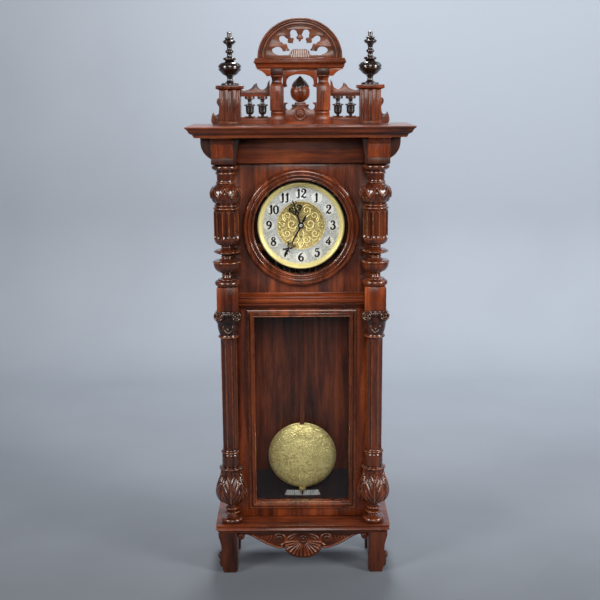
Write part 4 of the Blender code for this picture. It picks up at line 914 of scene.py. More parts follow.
class CLOCK_OT_pilasters(bpy.types.Operator):
    """The two pilasters that carry the arch: foot, hollow, incised shaft, cushion and a cap darkened by
    painted shade
    """

    bl_idname = "wall_clock.pilasters"
    bl_label = "Pilasters"

    def execute(self, context):
        for name in SIDES:
            at = Space(f"pilaster_{name}")
            steps = [
                (0, 0), (15, 0), (15.6, 3.0), (18.6, 3.0), (19, 1.6), (20, 4.2), (27, 5.6, -0.35),
                (28.5, 0.4), (30, 0.4), (78, 0.4), (79, 3.0), (80.5, 3.0), (81, 2.6), (97, 2.6, 0.32),
                (97.6, 4.4), (99.5, 4.4), (100, 2.6), (112, 2.6),
            ]
            shaft = stepped(f"pilaster_shaft_{name}", at, moulded(steps, 5), 0.0005, 0.55, stretched=True)
            cut = prism("cut", [(-1.6, -9), (0, -10.5), (1.6, -9), (0.9, 9), (-0.9, 9)], "y", 0, 6)
            work_on(cut)
            cut.scale = (MM, MM, MM)
            cut.location = (at.x, at.front - 0.003, at.bottom + 0.055)
            bpy.ops.object.transform_apply()
            finished(shaft, ("BOOLEAN", {"object": cut, "operation": "DIFFERENCE"}))
            bpy.data.objects.remove(cut)
            placed(shaft, "warm_up", "case", f"pilaster_{name}")
            # painted shade: the cap under the entablature takes the painted-shade walnut
            refaced(shaft, "painted_shade_walnut", choose=lambda middle, cap=at.top - 0.0125: middle.z > cap)
        return {"FINISHED"}


class CLOCK_OT_crown_panel(bpy.types.Operator):
    """The cusped arch over the bud, and the board with its roundel and horns that the bud stands on"""

    bl_idname = "wall_clock.crown_panel"
    bl_label = "Crown panel"

    def execute(self, context):
        at = Space("crown_panel")
        half = at.width / 2 / MM + 2.6
        top = at.height / MM
        arch = [
            (0, top + 1.4, 1), (half, top + 1.4, 1), (half, 73.5, 1), (26, 76.5, 1), (27.8, 86),
            (24.5, 93.5), (15, 99), (0, 100.8),
        ]
        base = [
            (0, 0, 1), (half, 0, 1), (half, 43.5, 1), (29.5, 45), (24.6, 43, 1), (28.8, 40), (29.8, 35),
            (27.5, 31), (23.5, 30), (19, 31.5), (16.8, 35), (18, 39), (16, 41, 1), (12.5, 40.5), (11, 43.5),
            (8.5, 45.5), (6, 44.2, 1), (0, 46.5),
        ]
        loops = [both_sides(scaled(arch)), both_sides(scaled(base))]
        board = fret("panel_board", loops, (0, at.y, at.bottom), at.depth, 0.0012)
        boss = [
            (0, 12.6), (1.6, 12.6), (3.2, 10.6, 0.4), (3.0, 9.6), (2.2, 8.4, -0.3), (2.4, 6.6),
            (5.4, 2.4, 0.2),
        ]
        roundel = spun("roundel", boss, (0, at.front + 0.0002, at.bottom + 0.0205), 40)
        petals = []
        for i in range(9):
            angle = math.radians(-10 + i * 25)
            x, z = 14.6 * math.cos(angle), 20.5 + 14.6 * math.sin(angle)
            petals.append(metres([(x, z, 1.1), (x * 1.13, 20.5 + (z - 20.5) * 1.13, 2.0)]))
        scallops = strokes("scallops", petals, (0, at.front, at.bottom), 1.0)
        placed(joined("crown_panel_fret", [board, roundel, scallops]), "warm_across", "case", "crown_panel")
        return {"FINISHED"}


class CLOCK_OT_bud(bpy.types.Operator):
    """The carved bud under the arch, its dark leaf lapping over the turned cup"""

    bl_idname = "wall_clock.bud"
    bl_label = "Bud"

    def execute(self, context):
        at = Space("crown_bud")
        profile = [
            (0, 5.2), (2, 6.2), (4, 5.6), (8, 4.0, -0.1), (11, 4.6), (12.4, 8.0), (15, 12.4),
            (22, 18.4, 0.06), (30, 20.0, 0.06), (37, 19.4, 0.06), (50, 12.6, 0.03), (59, 5.2, -0.02),
            (64, 0.5),
        ]
        shape = refined(scaled(moulded(profile)), 0.0012)
        bud = turned("bud", shape, (at.x, at.y, at.bottom), 72)
        lap = 38.5 * MM
        boss_x, boss_z, boss_y = 0.0084, at.bottom + 0.0335, at.y - 0.0168

        def edge_of_leaf(angle):
            return at.bottom + lap + 0.0045 * abs(math.sin(angle * 1.5 + 0.4))

        def relief(point):
            angle = math.atan2(point.x - at.x, -(point.y - at.y))
            over = (point.z - edge_of_leaf(angle)) / 0.0012
            leaf = min(max(over, 0), 1)
            vein = 0.45 + 0.55 * abs(math.sin(angle * 3))
            taper = min(1, (at.top - point.z) / 0.012)
            return leaf * vein * taper

        carved(bud, 0.0016, relief)
        bosses = [bud]
        for side in (-1, 1):
            place = (at.x + side * boss_x, boss_y, boss_z)
            dome = [(0, 4.6), (1.2, 4.6), (2.2, 3.6, 0.3), (1.8, 3.0), (4.4, 0.4, 0.3)]
            bosses.append(spun("boss", dome, place, 24))
        bud = placed(joined("bud_turning", bosses), "warm_up", "case", "crown_bud", slot="dark_walnut")

        def finish_of(middle):
            angle = math.atan2(middle.x - at.x, -(middle.y - at.y))
            from_boss = math.hypot(abs(middle.x - at.x) - boss_x, middle.z - boss_z)
            # painted highlight: the bosses take the pale dust-and-highlight finish
            if from_boss < 0.0031 and middle.y < boss_y - MM:
                return 2
            return middle.z > edge_of_leaf(angle)

        refaced(bud, "ebonised", "dust_and_painted_highlight", choose=finish_of)
        return {"FINISHED"}


class CLOCK_OT_pedestals(bpy.types.Operator):
    """The fluted blocks that the finials stand on"""

    bl_idname = "wall_clock.pedestals"
    bl_label = "Pedestals"

    def execute(self, context):
        half = 0.0215
        side = []
        for centre in (-15.5, 0, 15.5):
            wide = 3.2 if centre == 0 else 2.2
            side += scaled(arc(centre, 0, wide, 180, 0, 6, -wide * 0.9))
        for name in SIDES:
            at = Space(f"pedestal_{name}")
            outline = []
            for quarter in range(4):
                angle = quarter * math.pi / 2
                c, s = round(math.cos(angle)), round(math.sin(angle))
                face = [(-half, -half), *[(a, -half - b) for a, b in side]]
                outline += [(at.x + a * c - b * s, at.y + a * s + b * c) for a, b in face]
            body = prism("body", outline, "z", at.bottom + 0.006, at.top - 0.0095)
            eased(body, 0.0004)
            foot = [(0, half + 0.0012), (5.0, half + 0.0012), (6.2, half - 0.0005)]
            wide = at.width / 2
            cap = [
                (-10.5, half - 0.0005), (-9, half + 0.001), (-7.6, wide - 0.0015), (-7, wide), (-1.2, wide),
                (0, wide - 0.001),
            ]
            blocks = [body]
            for label, start, steps in (("foot", at.bottom, foot), ("cap", at.top, cap)):
                levels = [(start + h * MM, at.x - r, at.x + r, at.y - r, at.y + r) for h, r in steps]
                blocks.append(eased(stacked(label, levels), 0.0006))
            block = joined(f"pedestal_block_{name}", blocks)
            placed(block, "warm_up", "case", f"pedestal_{name}")
        return {"FINISHED"}


class CLOCK_OT_finials(bpy.types.Operator):
    """The two ebonised finials: a grooved bulb, a ring, a bead, a cup and a tip"""

    bl_idname = "wall_clock.finials"
    bl_label = "Finials"

    def execute(self, context):
        profile = [
            (0, 18.2), (1.8, 18.4, 0.3), (4.4, 16.5, 0.2), (7.5, 8, -0.2), (9, 6.3), (15, 6.0, -0.06),
            (19, 9.5, -0.1), (26, 18.6, 0.08), (33.0, 24.2, 0.05), (33.8, 22.0), (35.2, 22.0), (36, 24.2),
            (41.8, 21.8, 0.1), (46.5, 12.5, 0.1), (49, 8.5), (50, 11), (55.5, 11, 0.42), (57, 6.2),
            (60, 5.0), (63.5, 5.4), (64.5, 6.2), (70.5, 6.2, 0.4), (72, 5.2), (78, 5.6, -0.1),
            (82, 8, -0.1), (86.4, 12.8, 0.12), (88.6, 12.8, 0.4), (91, 9.2, 0.1), (92.5, 8.0),
            (95.5, 8.0, 0.45), (96.6, 5.0), (98, 4.6), (104.5, 4.8), (106.4, 3.6, 0.2), (107.4, 1.2),
        ]
        for name in SIDES:
            at = Space(f"finial_{name}")
            piece = turned(f"finial_turning_{name}", scaled(moulded(profile)), (at.x, at.y, at.bottom), 48)
            placed(piece, "ebonised", "case", f"finial_{name}", smooth=40)
        return {"FINISHED"}


class CLOCK_OT_galleries(bpy.types.Operator):
    """The galleries beside the pilasters: a base rail, two dark spindles and a waved top rail"""

    bl_idname = "wall_clock.galleries"
    bl_label = "Galleries"

    def execute(self, context):
        spindle = [
            (0, 11.2), (1.6, 11.2), (2.2, 4), (3.2, 3.2), (5.4, 3.2), (6.6, 6.6, 0.2), (13, 8.4, 0.1),
            (22, 8.6), (22.6, 10.4), (25.6, 10.4, 0.4), (26.6, 7), (27.6, 4.2), (34.2, 4.4, -0.08),
            (35.6, 7), (36.6, 10.4), (41.6, 10.4),
        ]
        for name, side in SIDES.items():
            at = Space(f"gallery_{name}")
            inner, outer = (at.left, at.right) if side > 0 else (-at.right, -at.left)
            i, o = inner / MM, outer / MM
            rail = [
                (i, 56.8, 1), (o, 56.8, 1), (o, 70, 1), (108, 70), (99, 74.5), (94, 81), (88.8, 84, 1),
                (87.5, 78), (83.5, 73), (77.5, 71), (71.5, 73), (67.8, 78), (66.5, 84), (i, 90, 1),
            ]
            rail = scaled(rail)
            rail = [(side * p[0], *p[1:]) for p in (rail if side > 0 else reversed(rail))]
            top = fret("top_rail", [rail], (0, at.y, at.bottom), at.depth, 0.001)
            steps = [(0, 0), (12.4, 0), (13.4, 1.6), (15.2, 1.6)]
            base = stepped("base_rail", at, steps, 0.0006, 0.0, 1.0)
            placed(joined(f"gallery_rails_{name}", [top, base]), "walnut_across", "case", f"gallery_{name}")
            turnings = []
            for x in (77.7, 103.8):
                place = (side * x * MM, at.y, at.bottom + 0.0152)
                turnings.append(turned("spindle", scaled(moulded(spindle)), place, 32))
            placed(joined(f"gallery_spindles_{name}", turnings), "ebonised", "case")
        return {"FINISHED"}


class CLOCK_OT_brackets(bpy.types.Operator):
    """The small scrolls outside the pedestals"""

    bl_idname = "wall_clock.brackets"
    bl_label = "Scroll brackets"

    def execute(self, context):
        outline = [
            (0, 0, 1), (15, 0, 1), (18.3, 5), (18.4, 13), (16.5, 20), (14, 24.6, 1), (12, 21), (8, 19.6),
            (3.5, 22), (2.4, 28), (2.4, 37), (4.4, 40), (6.6, 45.5), (5.6, 51), (2, 54, 1), (0, 54, 1),
        ]
        for name, side in SIDES.items():
            at = Space(f"scroll_bracket_{name}")
            start = at.left if side > 0 else at.right
            loop = [(start + side * p[0] * MM, p[1] * MM, *p[2:]) for p in outline]
            loop = loop if side > 0 else loop[::-1]
            piece = fret(f"scroll_{name}", [loop], (0, at.y, at.bottom), at.depth, 0.0012)
            placed(piece, "walnut_up", "case", f"scroll_bracket_{name}")
        return {"FINISHED"}


# ---------------------------------------------------------------- case


class CLOCK_OT_cornice(bpy.types.Operator):
    """The cornice, its frieze board and the corbels that flare out beneath it"""

    bl_idname = "wall_clock.cornice"
    bl_label = "Cornice, frieze and corbels"

    def execute(self, context):
        at = Space("cornice")
        steps = [
            (0, 17), (1.4, 17), (1.8, 15.6), (7.5, 11.6, 0.16), (8.1, 10.2), (14.8, 5.6, -0.12),
            (15.2, 4.4), (17.4, 3.4), (18.4, 1.0), (20.2, 0.0), (21.6, 0.0), (22, 0.5),
        ]
        moulding = stepped("cornice_moulding", at, moulded(steps), 0.0004)
        placed(moulding, "walnut_across", "case", "cornice")
        softened("frieze", "walnut_across", "case")
        foot, behind = 0.0445, Space("frieze").front + MM
        for name, side in SIDES.items():
            at = Space(f"corbel_{name}")
            inner = at.left if side > 0 else -at.right
            outer = inner + foot
            face = at.front + 0.024
            steps = [(0, -1.5), (1.5, 0), (12.5, 0), (13.2, -1.6), (14.5, -1.6), (15, -0.4), (54, -0.4)]
            block = [(h, inner, outer + r * MM, face - r * MM, at.back) for h, r in steps]
            steps = moulded([(11, 0.2), (12, 1.0), (50, 20.4, 0.15), (54, 21)], 8)
            wing = [(h, outer - 0.004, outer + r * MM, face + 0.002, at.back) for h, r in steps]
            steps = moulded([(40, 0), (53, 22, -0.2), (54, 23)], 6)
            lip = [(h, inner, outer, face - r * MM, face + 0.006) for h, r in steps]
            steps = ((0, 5), (14, 5.5), (40, 10), (54, 12.5))
            cheek = [(h, inner + 0.004, inner - r * MM, face + 0.003, behind) for h, r in steps]
            parts = []
            for label, rows in (("block", block), ("wing", wing), ("lip", lip), ("cheek", cheek)):
                edge, angle = (0.0007, 30) if label == "block" else (0.0004, 50)
                levels = [
                    (at.bottom + h * MM, *sorted((side * a, side * b)), *depths)
                    for h, a, b, *depths in rows
                ]
                parts.append(eased(stacked(label, levels), edge, angle=angle))
            corbel = joined(f"corbel_block_{name}", parts)
            placed(corbel, "warm_up", "case", f"corbel_{name}")

            # painted shade: the corbel's underside and its sides, away from its front face, take the
            # painted-shade walnut
            def dark(middle, side=side, inner=inner, low=at.bottom + 0.0135):
                return middle.z < low or not -0.0005 < side * middle.x - inner < foot + 0.0008

            refaced(corbel, "painted_shade_walnut", choose=dark)
        return {"FINISHED"}


class CLOCK_OT_plinth(bpy.types.Operator):
    """The plinth board: a hollow, a rounded nose and a sunk field round a raised edge"""

    bl_idname = "wall_clock.plinth"
    bl_label = "Plinth"

    def execute(self, context):
        at = Space("plinth")
        steps = [
            (0, 9), (3, 9), (3.6, 8), (7.6, 4.4, -0.22), (8.2, 3.4), (8.6, 1.0), (18.4, 1.0, 0.26),
            (18.95, 3.4),
        ]
        board = stepped("plinth_board", at, moulded(steps), 0.0004)
        placed(board, "walnut_across", "case", "plinth")
        refaced(board, "warm_across", choose=lambda middle: at.bottom + 0.0084 < middle.z < at.top - 0.0004)
        return {"FINISHED"}


class CLOCK_OT_feet(bpy.types.Operator):
    """The bracket feet, waved on their outer sides, each with a turned button"""

    bl_idname = "wall_clock.feet"
    bl_label = "Feet"

    def execute(self, context):
        wave = [
            (2.6, 91), (2.6, 88), (3.4, 82), (5.6, 74), (8.0, 64), (9.0, 52), (7.6, 40), (5.0, 28),
            (5.0, 18), (7.8, 14), (11.0, 12.5), (11.6, 6), (13.2, 0),
        ]
        for name, side in SIDES.items():
            at = Space(f"foot_{name}")
            start, end = (at.right, at.left) if side > 0 else (at.left, at.right)
            wall = [(start - side * a * MM, b * MM) for a, b in wave]
            outline = wall + [(end + side * 0.004, 0), (end, 0.004), (end, at.top)]
            block = prism("block", outline, "y", at.front, at.back)
            hollow = arc(at.y, 0.0, 0.042, 0, 180, 20, 0.062)
            hollow = [(at.y + 0.042, -0.01), *hollow, (at.y - 0.042, -0.01)]
            cut = prism("cut", hollow, "x", start + side * 0.02, end - side * 0.02)
            finished(block, ("BOOLEAN", {"object": cut, "operation": "DIFFERENCE"}))
            bpy.data.objects.remove(cut)
            eased(block, 0.001, angle=40)
            knob = [(0, 4.0), (1.5, 4.4), (2.5, 8.0, 0.2), (5.0, 8.2, 0.35), (7.0, 5.0, 0.2), (8.2, 1.5, 0.2)]
            knob = scaled(moulded(knob))
            button = turned("button", knob, (0, 0, 0), 28)
            button.rotation_euler = (0, side * math.pi / 2, 0)
            button.location = (start - side * 0.0088, at.front + 0.021, 0.031)
            work_on(button)
            bpy.ops.object.transform_apply()
            foot = joined(f"foot_bracket_{name}", [block, button])
            # painted shade: the feet under the plinth take the painted-shade walnut
            placed(foot, "painted_shade_walnut", "case", f"foot_{name}")
        return {"FINISHED"}


class CLOCK_OT_apron(bpy.types.Operator):
    """The carved apron: a ribbed shell between two scrolls with reeds and an eye"""

    bl_idname = "wall_clock.apron"
    bl_label = "Apron"

    def execute(self, context):
        at = Space("apron")
        low = at.bottom / MM
        half = [
            (0, low), (12, low + 0.6), (22, low + 3.5), (31, low + 9), (37.5, low + 16),
            (40.5, low + 23, 1), (45, low + 21.5), (53, low + 21.5), (62, low + 24.5), (76, low + 30),
            (96, low + 41), (111, low + 50), (122, low + 54), (125.6, low + 54, 1), (126, 79),
            (129.5, 73.8), (133.7, 72.4), (138, 74.2), (141, 80), (141.4, 90.6, 1), (0, 90.6, 1),
        ]
        board = fret("board", [both_sides(scaled(half))], (0, at.y + 0.003, 0), at.depth - 0.006, 0.0012)
        face = at.front + 0.006
        lines = []
        for side in (-1, 1):
            for i in range(7):
                angle = math.radians(8 + i * 13)
                reach = 34 + 4.5 * math.sin(angle)
                x0, z0 = 9 * math.sin(angle), 70 - 9 * math.cos(angle)
                x1, z1 = reach * 1.02 * math.sin(angle), 70 - reach * math.cos(angle)
                middle = ((x0 + x1) / 2 + 1.0, (z0 + z1) / 2)
                rib = [(x0, z0, 0.9), (*middle, 2.4), (x1, z1, 2.9)]
                lines.append(metres(rib, side))
            for i in range(5):
                x, z = 68 + i * 6.6, 82.5 - i * 0.5
                reed = [(x, z, 1.9), (x + 2.4, z - 6 + i * 0.6, 2.2), (x + 7.5, z - 14.5 + i * 2.1, 1.0)]
                lines.append(metres(reed, side))
            rim = [
                (44, 55.5, 1.6), (53, 55, 2.3), (63, 58.5, 2.3), (76, 63.8, 2.2), (95, 74.5, 2.0),
                (110, 83.5, 1.6),
            ]
            upper_leaf = [(14, 86, 1.2), (24, 83, 2.6), (33, 76, 2.8), (38, 66, 1.6)]
            lower_leaf = [(18, 80, 1.0), (25, 76, 2.0), (30, 69, 1.8), (32, 60, 1.0)]
            scroll, tip = spiral(52, 75, 15.5, 250, -1.35, 2.6, 16), spiral(35, 51.5, 6.5, 200, -1.0, 1.8, 10)
            lines += [metres(path, side) for path in (scroll, rim, upper_leaf, lower_leaf, tip)]
        pieces = [board, strokes("carving", lines, (0, face, 0), 1.25)]
        eye = [(0, 8.4), (2, 8.4), (5.2, 3, 0.25), (5.6, 0.4)]
        rose = [(0, 8), (2.2, 8), (4, 6.6, 0.4), (3.4, 5.2, -0.2), (3.8, 4), (6, 0.4, 0.3)]
        drop = [(0, 6.6), (1.6, 6.6), (3.6, 3, 0.3), (4, 0.4)]
        turnings = [("eye", eye, x, 0.0005, 75, 32) for x in (-52, 52)]
        turnings.append(("rose", rose, 0, 0.0005, 75, 32))
        turnings += [("drop", drop, x, 0, 80, 24) for x in (-133.6, 133.6)]
        for name, profile, x, lift, z, sides in turnings:
            pieces.append(spun(name, profile, (x * MM, face + lift, z * MM), sides))
        # painted shade: the apron under the plinth takes walnut darkened as painted shade
        placed(joined("apron_carving", pieces), "apron", "case", "apron", smooth=50)
        return {"FINISHED"}


# ---------------------------------------------------------------- door


def clear_of_door(piece, back):
    """Cut a turning flat where it stands against the door."""
    edit(piece)
    bpy.ops.mesh.bisect(plane_co=(0, back, 0), plane_no=(0, 1, 0), use_fill=True, clear_outer=True)
    bpy.ops.object.mode_set(mode="OBJECT")
    return piece


def flutes(at, count, low, high, run=0.006):
    """A pattern of round-ended flutes between two heights."""

    def pattern(point):
        if not low < point.z < high:
            return 0
        phase = (math.atan2(point.x - at.x, -(point.y - at.y)) * count / TURN + 0.5) % 1 - 0.5
        end = min(point.z - low, high - point.z) / run
        wide = 0.43 * math.sqrt(max(0, 1 - max(0, 1 - end) ** 2))
        return math.sqrt(max(0, 1 - (phase / wide) ** 2)) if wide > 0.02 else 0

    return pattern


class CLOCK_OT_upper_columns(bpy.types.Operator):
    """The columns beside the dial: cup, disc, fluted drum and a bulb carved with lapping leaves"""

    bl_idname = "wall_clock.upper_columns"
    bl_label = "Upper columns"

    def execute(self, context):
        sizes = context.scene.clock_sizes
        profile = [
            (0, 21), (1.5, 22.2), (12.5, 22.2, 0.38), (14, 20), (16, 19), (20, 11, -0.2), (22, 10.4),
            (25.4, 10.4, 0.45), (27, 11.6), (29, 15), (47, 28.4, 0.16), (49, 28.2), (53, 28.2, 0.36),
            (54.5, 25.5), (58, 14, -0.15), (59, 11), (60, 10.6), (64.5, 10.6, 0.45), (65.6, 11.4),
            (69, 22, -0.12), (71.8, 26.4), (74, 26.6, 0.4), (76.5, 22.5), (79.5, 12, -0.18), (81, 10.6),
            (84.6, 10.6, 0.4), (86.4, 12.6), (96.5, 25.4, 0.2), (98, 26.2), (157, 26.2), (158, 24.8),
            (160, 24.8), (164.4, 24.8, 0.5), (165.4, 23.6), (166.4, 23), (170, 23, 0.45), (171.4, 21.6),
            (211, 20.2, 0.235), (213, 18.6), (216.6, 18.6, 0.45), (218, 17.6), (230.5, 18.2), (231.5, 18.8),
            (236, 18.8, 0.45), (237.4, 19.4), (239.6, 22.8, -0.12), (241, 24.4), (250.3, 24.4, 0.42),
            (251.3, 21),
        ]
        for name in SIDES:
            at = Space(f"upper_column_{name}")
            spot = Space(f"block_{name}")
            centre = Vector((spot.x, spot.y, at.bottom))
            shape = refined(scaled(moulded(profile)), 0.0022)
            piece = turned(f"upper_turning_{name}", shape, centre, 144)
            low, high = at.bottom + 0.172, at.bottom + 0.2105

            def leaves(point):
                if not low < point.z < high:
                    return 0
                turn_part = math.atan2(point.x - centre.x, -(point.y - centre.y)) * 7 / TURN
                height = (point.z - low) / (high - low)
                zigzag = 0.30 + 0.46 * abs((turn_part % 1) * 2 - 1)
                gap = height - zigzag
                ridge = max(0, 1 - abs(gap - 0.05) / 0.11)
                if gap > 0:
                    across = abs(((turn_part + 0.5) % 1) - 0.5) * 2
                    petal = max(0, 1 - across * 0.9) * min(1, gap * 4) * min(1, (1 - height) * 7)
                else:
                    across = abs((turn_part % 1) - 0.5) * 2
                    petal = max(0, 1 - across * 1.0) * min(1, -gap * 4) * min(1, height * 7)
                return max(ridge * 0.95, petal * 0.62)

            carved(piece, sizes.leaf_depth * 0.95, leaves)
            carved(piece, -sizes.flute_depth, flutes(centre, 12, at.bottom + 0.1005, at.bottom + 0.1555))
            clear_of_door(piece, at.back)
            placed(piece, "turned", "door", f"upper_column_{name}", smooth=42)
        return {"FINISHED"}


class CLOCK_OT_lower_columns(bpy.types.Operator):
    """The long columns beside the glass: acanthus vase, fluted shaft and a capital with two volutes"""

    bl_idname = "wall_clock.lower_columns"
    bl_label = "Lower columns"

    def execute(self, context):
        sizes = context.scene.clock_sizes
        profile = [
            (0, 20), (1, 20.8), (9.6, 20.8, 0.36), (10.6, 18.4), (13, 10.5, -0.2), (14, 9.4),
            (18, 9.4, 0.45), (19.4, 11), (21, 16.6), (24.2, 16.6, 0.4), (25.6, 11), (27.6, 9.6), (29, 13.6),
            (33, 13.6, 0.4), (35, 10.4), (38, 10), (40, 12), (53, 26, 0.08), (64, 30.4, 0.08),
            (77, 29.4, 0.04), (96, 23.4, 0.03), (113, 19.0, -0.04), (118, 20.2, -0.1), (121.4, 24.6, -0.12),
            (124.4, 24.8, 0.4), (125.4, 21), (126.6, 18.4), (128, 18.6), (129, 19.2), (153, 19.2),
            (154.6, 17.8), (156.4, 19), (161, 19, 0.45), (162.6, 17.4), (164, 16.8), (166, 17.0),
            (406, 17.6), (408, 18), (409.4, 19.6), (414, 19.6, 0.5), (415.6, 18.6), (417, 18.8),
            (440, 23.5, 0.04), (447, 26, 0.05), (453, 26), (454, 24), (458, 24), (459, 24.8), (466.2, 24.8),
            (467.2, 24.2),
        ]
        for name in SIDES:
            at = Space(f"lower_column_{name}")
            spot = Space(f"block_{name}")
            centre = Vector((spot.x, spot.y, at.bottom))
            points = scaled(moulded(profile))
            vase = refined([p for p in points if p[0] <= 0.1265], 0.0019)
            shaft = refined([p for p in points if p[0] > 0.1265], 0.0060)
            piece = turned(f"lower_turning_{name}", vase + shaft, centre, 144)
            low, high = at.bottom + 0.042, at.bottom + 0.1225

            def acanthus(point):
                if not low < point.z < high:
                    return 0
                height = (point.z - low) / (high - low)
                turn_part = math.atan2(point.x - centre.x, -(point.y - centre.y)) * 4 / TURN
                across = abs((turn_part + 0.5) % 1 - 0.5) * 2
                lobes = 0.10 * abs(math.sin(height * 11))
                half = min(0.98, 0.50 + 0.62 * math.sin(math.pi * min(1, height * 1.05 + 0.12))) - lobes
                inside = min(1, max(0, (half - across) / 0.10))
                rib = max(0, 1 - across / 0.10)
                vein = 0.5 + 0.5 * math.cos(TURN * (height * 5.2 - across * 2.6))
                behind = 0.28 * max(0, 1 - abs(across - 1) / 0.16)
                ends = min(1, height * 9, (1 - height) * 16)
                leaf = inside * (0.38 + 0.40 * vein * min(1, across * 4) + 0.55 * rib)
                return ends * max(leaf, behind)

            carved(piece, sizes.leaf_depth, acanthus)
            carved(piece, -sizes.flute_depth, flutes(centre, 8, at.bottom + 0.168, at.bottom + 0.403))
            clear_of_door(piece, at.back)
            front = at.front + 0.001
            top = at.top
            details = []
            for side in (-1, 1):
                x = centre.x + side * 0.0178
                roll = [(-26, 9.4), (-25, 10.8), (0, 10.8), (1.4, 9.8, 0.2), (1.2, 8.4)]
                roll = spun("roll", roll, (x, front + 0.0036, top - 0.0085), 36)
                coil = metres(spiral(0, 0, 9.8, 90, side * -2.0, 2.1, 26))
                details += [roll, strokes("coil", [coil], (x, front + 0.0022, top - 0.0085), 1.3)]
            eggs = [[(i * 4.1, -3.2, 1.1), (i * 4.1, -0.4, 2.0), (i * 4.1, 2.0, 1.2)] for i in range(-2, 3)]
            details.append(on_face("eggs", eggs, (centre.x, front + 0.0058, top - 0.0052), 1.0, 3))
            swag = [(-13.5, -3, 1.2), (-7, -6.6, 1.9), (0, -7.6, 2.1), (7, -6.6, 1.9), (13.5, -3, 1.2)]
            details.append(on_face("swag", [swag], (centre.x, front + 0.0072, top - 0.0105), 1.0, 3))
            blade = [(0, -46, 1.2), (6, -42, 2.4), (9.5, -35, 2.6), (8, -28, 1.6)]
            leaf = [metres(blade, side) for side in (-1, 1)]
            leaf.append(metres([(0, -43, 1.6), (0, -38, 3.0), (0, -34.5, 2.0)]))
            details.append(strokes("bell_leaf", leaf, (centre.x, centre.y - 0.0200, top), 1.1))
            eye = [(0, 3.2), (1.2, 3.2, 0.3), (0.8, 1.9), (0.1, 1.7)]
            details.append(spun("eye", eye, (centre.x, centre.y - 0.0222, top - 0.0330), 20))
            capital = clear_of_door(joined(f"capital_{name}", details), at.back)
            column = placed(piece, "turned", "door", f"lower_column_{name}", smooth=42)
            refaced(column, "capital", choose=lambda middle, neck=at.bottom + 0.4165: middle.z > neck)
            placed(capital, "capital", "door", smooth=50)
        return {"FINISHED"}


class CLOCK_OT_door(bpy.types.Operator):
    """The door's frame, its square blocks, middle rail and the moulding round the long glass"""

    bl_idname = "wall_clock.door"
    bl_label = "Door"

    def execute(self, context):
        low = Space("mid_rail").z
        frame_piece = softened("door_frame", "walnut_up", "door", split=low)
        refaced(frame_piece, "warm_up", choose=lambda middle: middle.z < low)
        for name in SIDES:
            at = Space(f"block_{name}")
            steps = [(0, 1.2), (1.0, 0), (48.8, 0), (49.4, 1.4), (50.5, 1.4)]
            block = stepped(f"door_block_{name}", at, steps, None, stretched=True)
            placed(block, "warm_up", "door", f"block_{name}")
        at = Space("mid_rail")
        steps = [
            (0, 3.4), (1.4, 5.2), (2.4, 5.2), (9.0, 8.6, 0.2), (10, 7.4), (11, 10), (18, 12.6, 0.12),
            (19, 11.2), (20, 11.2), (26.5, 11.2, 0.3), (27.5, 9), (29, 7, -0.1), (31, 3.2, -0.1),
            (32.5, 3.0),
        ]
        outline = [(at.back, at.bottom)]
        outline += [(at.back - d * MM, at.bottom + h * MM) for h, d in moulded(steps)] + [(at.back, at.top)]
        rail = prism("mid_rail_moulding", outline, "x", at.left, at.right)
        placed(eased(rail, 0.0003), "warm_across", "door", "mid_rail", smooth=30)
        self.sight_moulding()
        return {"FINISHED"}

    def sight_moulding(self):
        """Mitred moulding round the glass: a rectangle inset and raised step by step."""
        at = Space("sight_moulding")
        work_on()
        bpy.ops.mesh.primitive_plane_add(size=1, location=(at.x, at.back, at.z), rotation=(math.pi / 2, 0, 0))
        frame_piece = bpy.context.object
        frame_piece.scale = (at.width, at.height, 1)
        bpy.ops.object.transform_apply()
        edit(frame_piece)
        steps = [
            (0, 0), (0.2, 2.4), (1.4, 3.0), (2.6, 2.6), (3.4, 1.6), (4.4, 1.4), (9.2, 6.4, 0.22),
            (10.2, 5.4),
        ]
        steps = moulded([*steps, (10.6, 5.0), (13.8, 4.8, -0.45), (14.6, 2.6), (15, 0)], 5)
        width, height, before = at.width, at.height, 0
        for across, proud in steps[1:]:
            bpy.ops.mesh.extrude_region_move(TRANSFORM_OT_translate={"value": (0, -(proud - before) * MM, 0)})
            wide, tall = at.width - 2 * across * MM, at.height - 2 * across * MM
            middle = (at.x, at.back - proud * MM, at.z)
            bpy.ops.transform.resize(value=(wide / width, 1, tall / height), center_override=middle)
            width, height, before = wide, tall, proud
        bpy.ops.mesh.delete(type="FACE")
        bpy.ops.object.mode_set(mode="OBJECT")
        for face in frame_piece.data.polygons:
            face.select = abs(face.normal.y) > 0.9 and face.area > at.width * at.height * 0.9
        bpy.ops.object.mode_set(mode="EDIT")
        bpy.ops.mesh.select_mode(type="FACE")
        bpy.ops.mesh.delete(type="FACE")
        bpy.ops.mesh.select_mode(type="VERT")
        bpy.ops.mesh.select_all(action="SELECT")
        bpy.ops.mesh.region_to_loop()
        bpy.ops.mesh.bridge_edge_loops()
        bpy.ops.mesh.select_mode(type="VERT")
        done(frame_piece, 1e-6)
        frame_piece.name = frame_piece.data.name = "sight_frame"
        placed(frame_piece, "carved_up_light", "door", "sight_moulding", smooth=30)


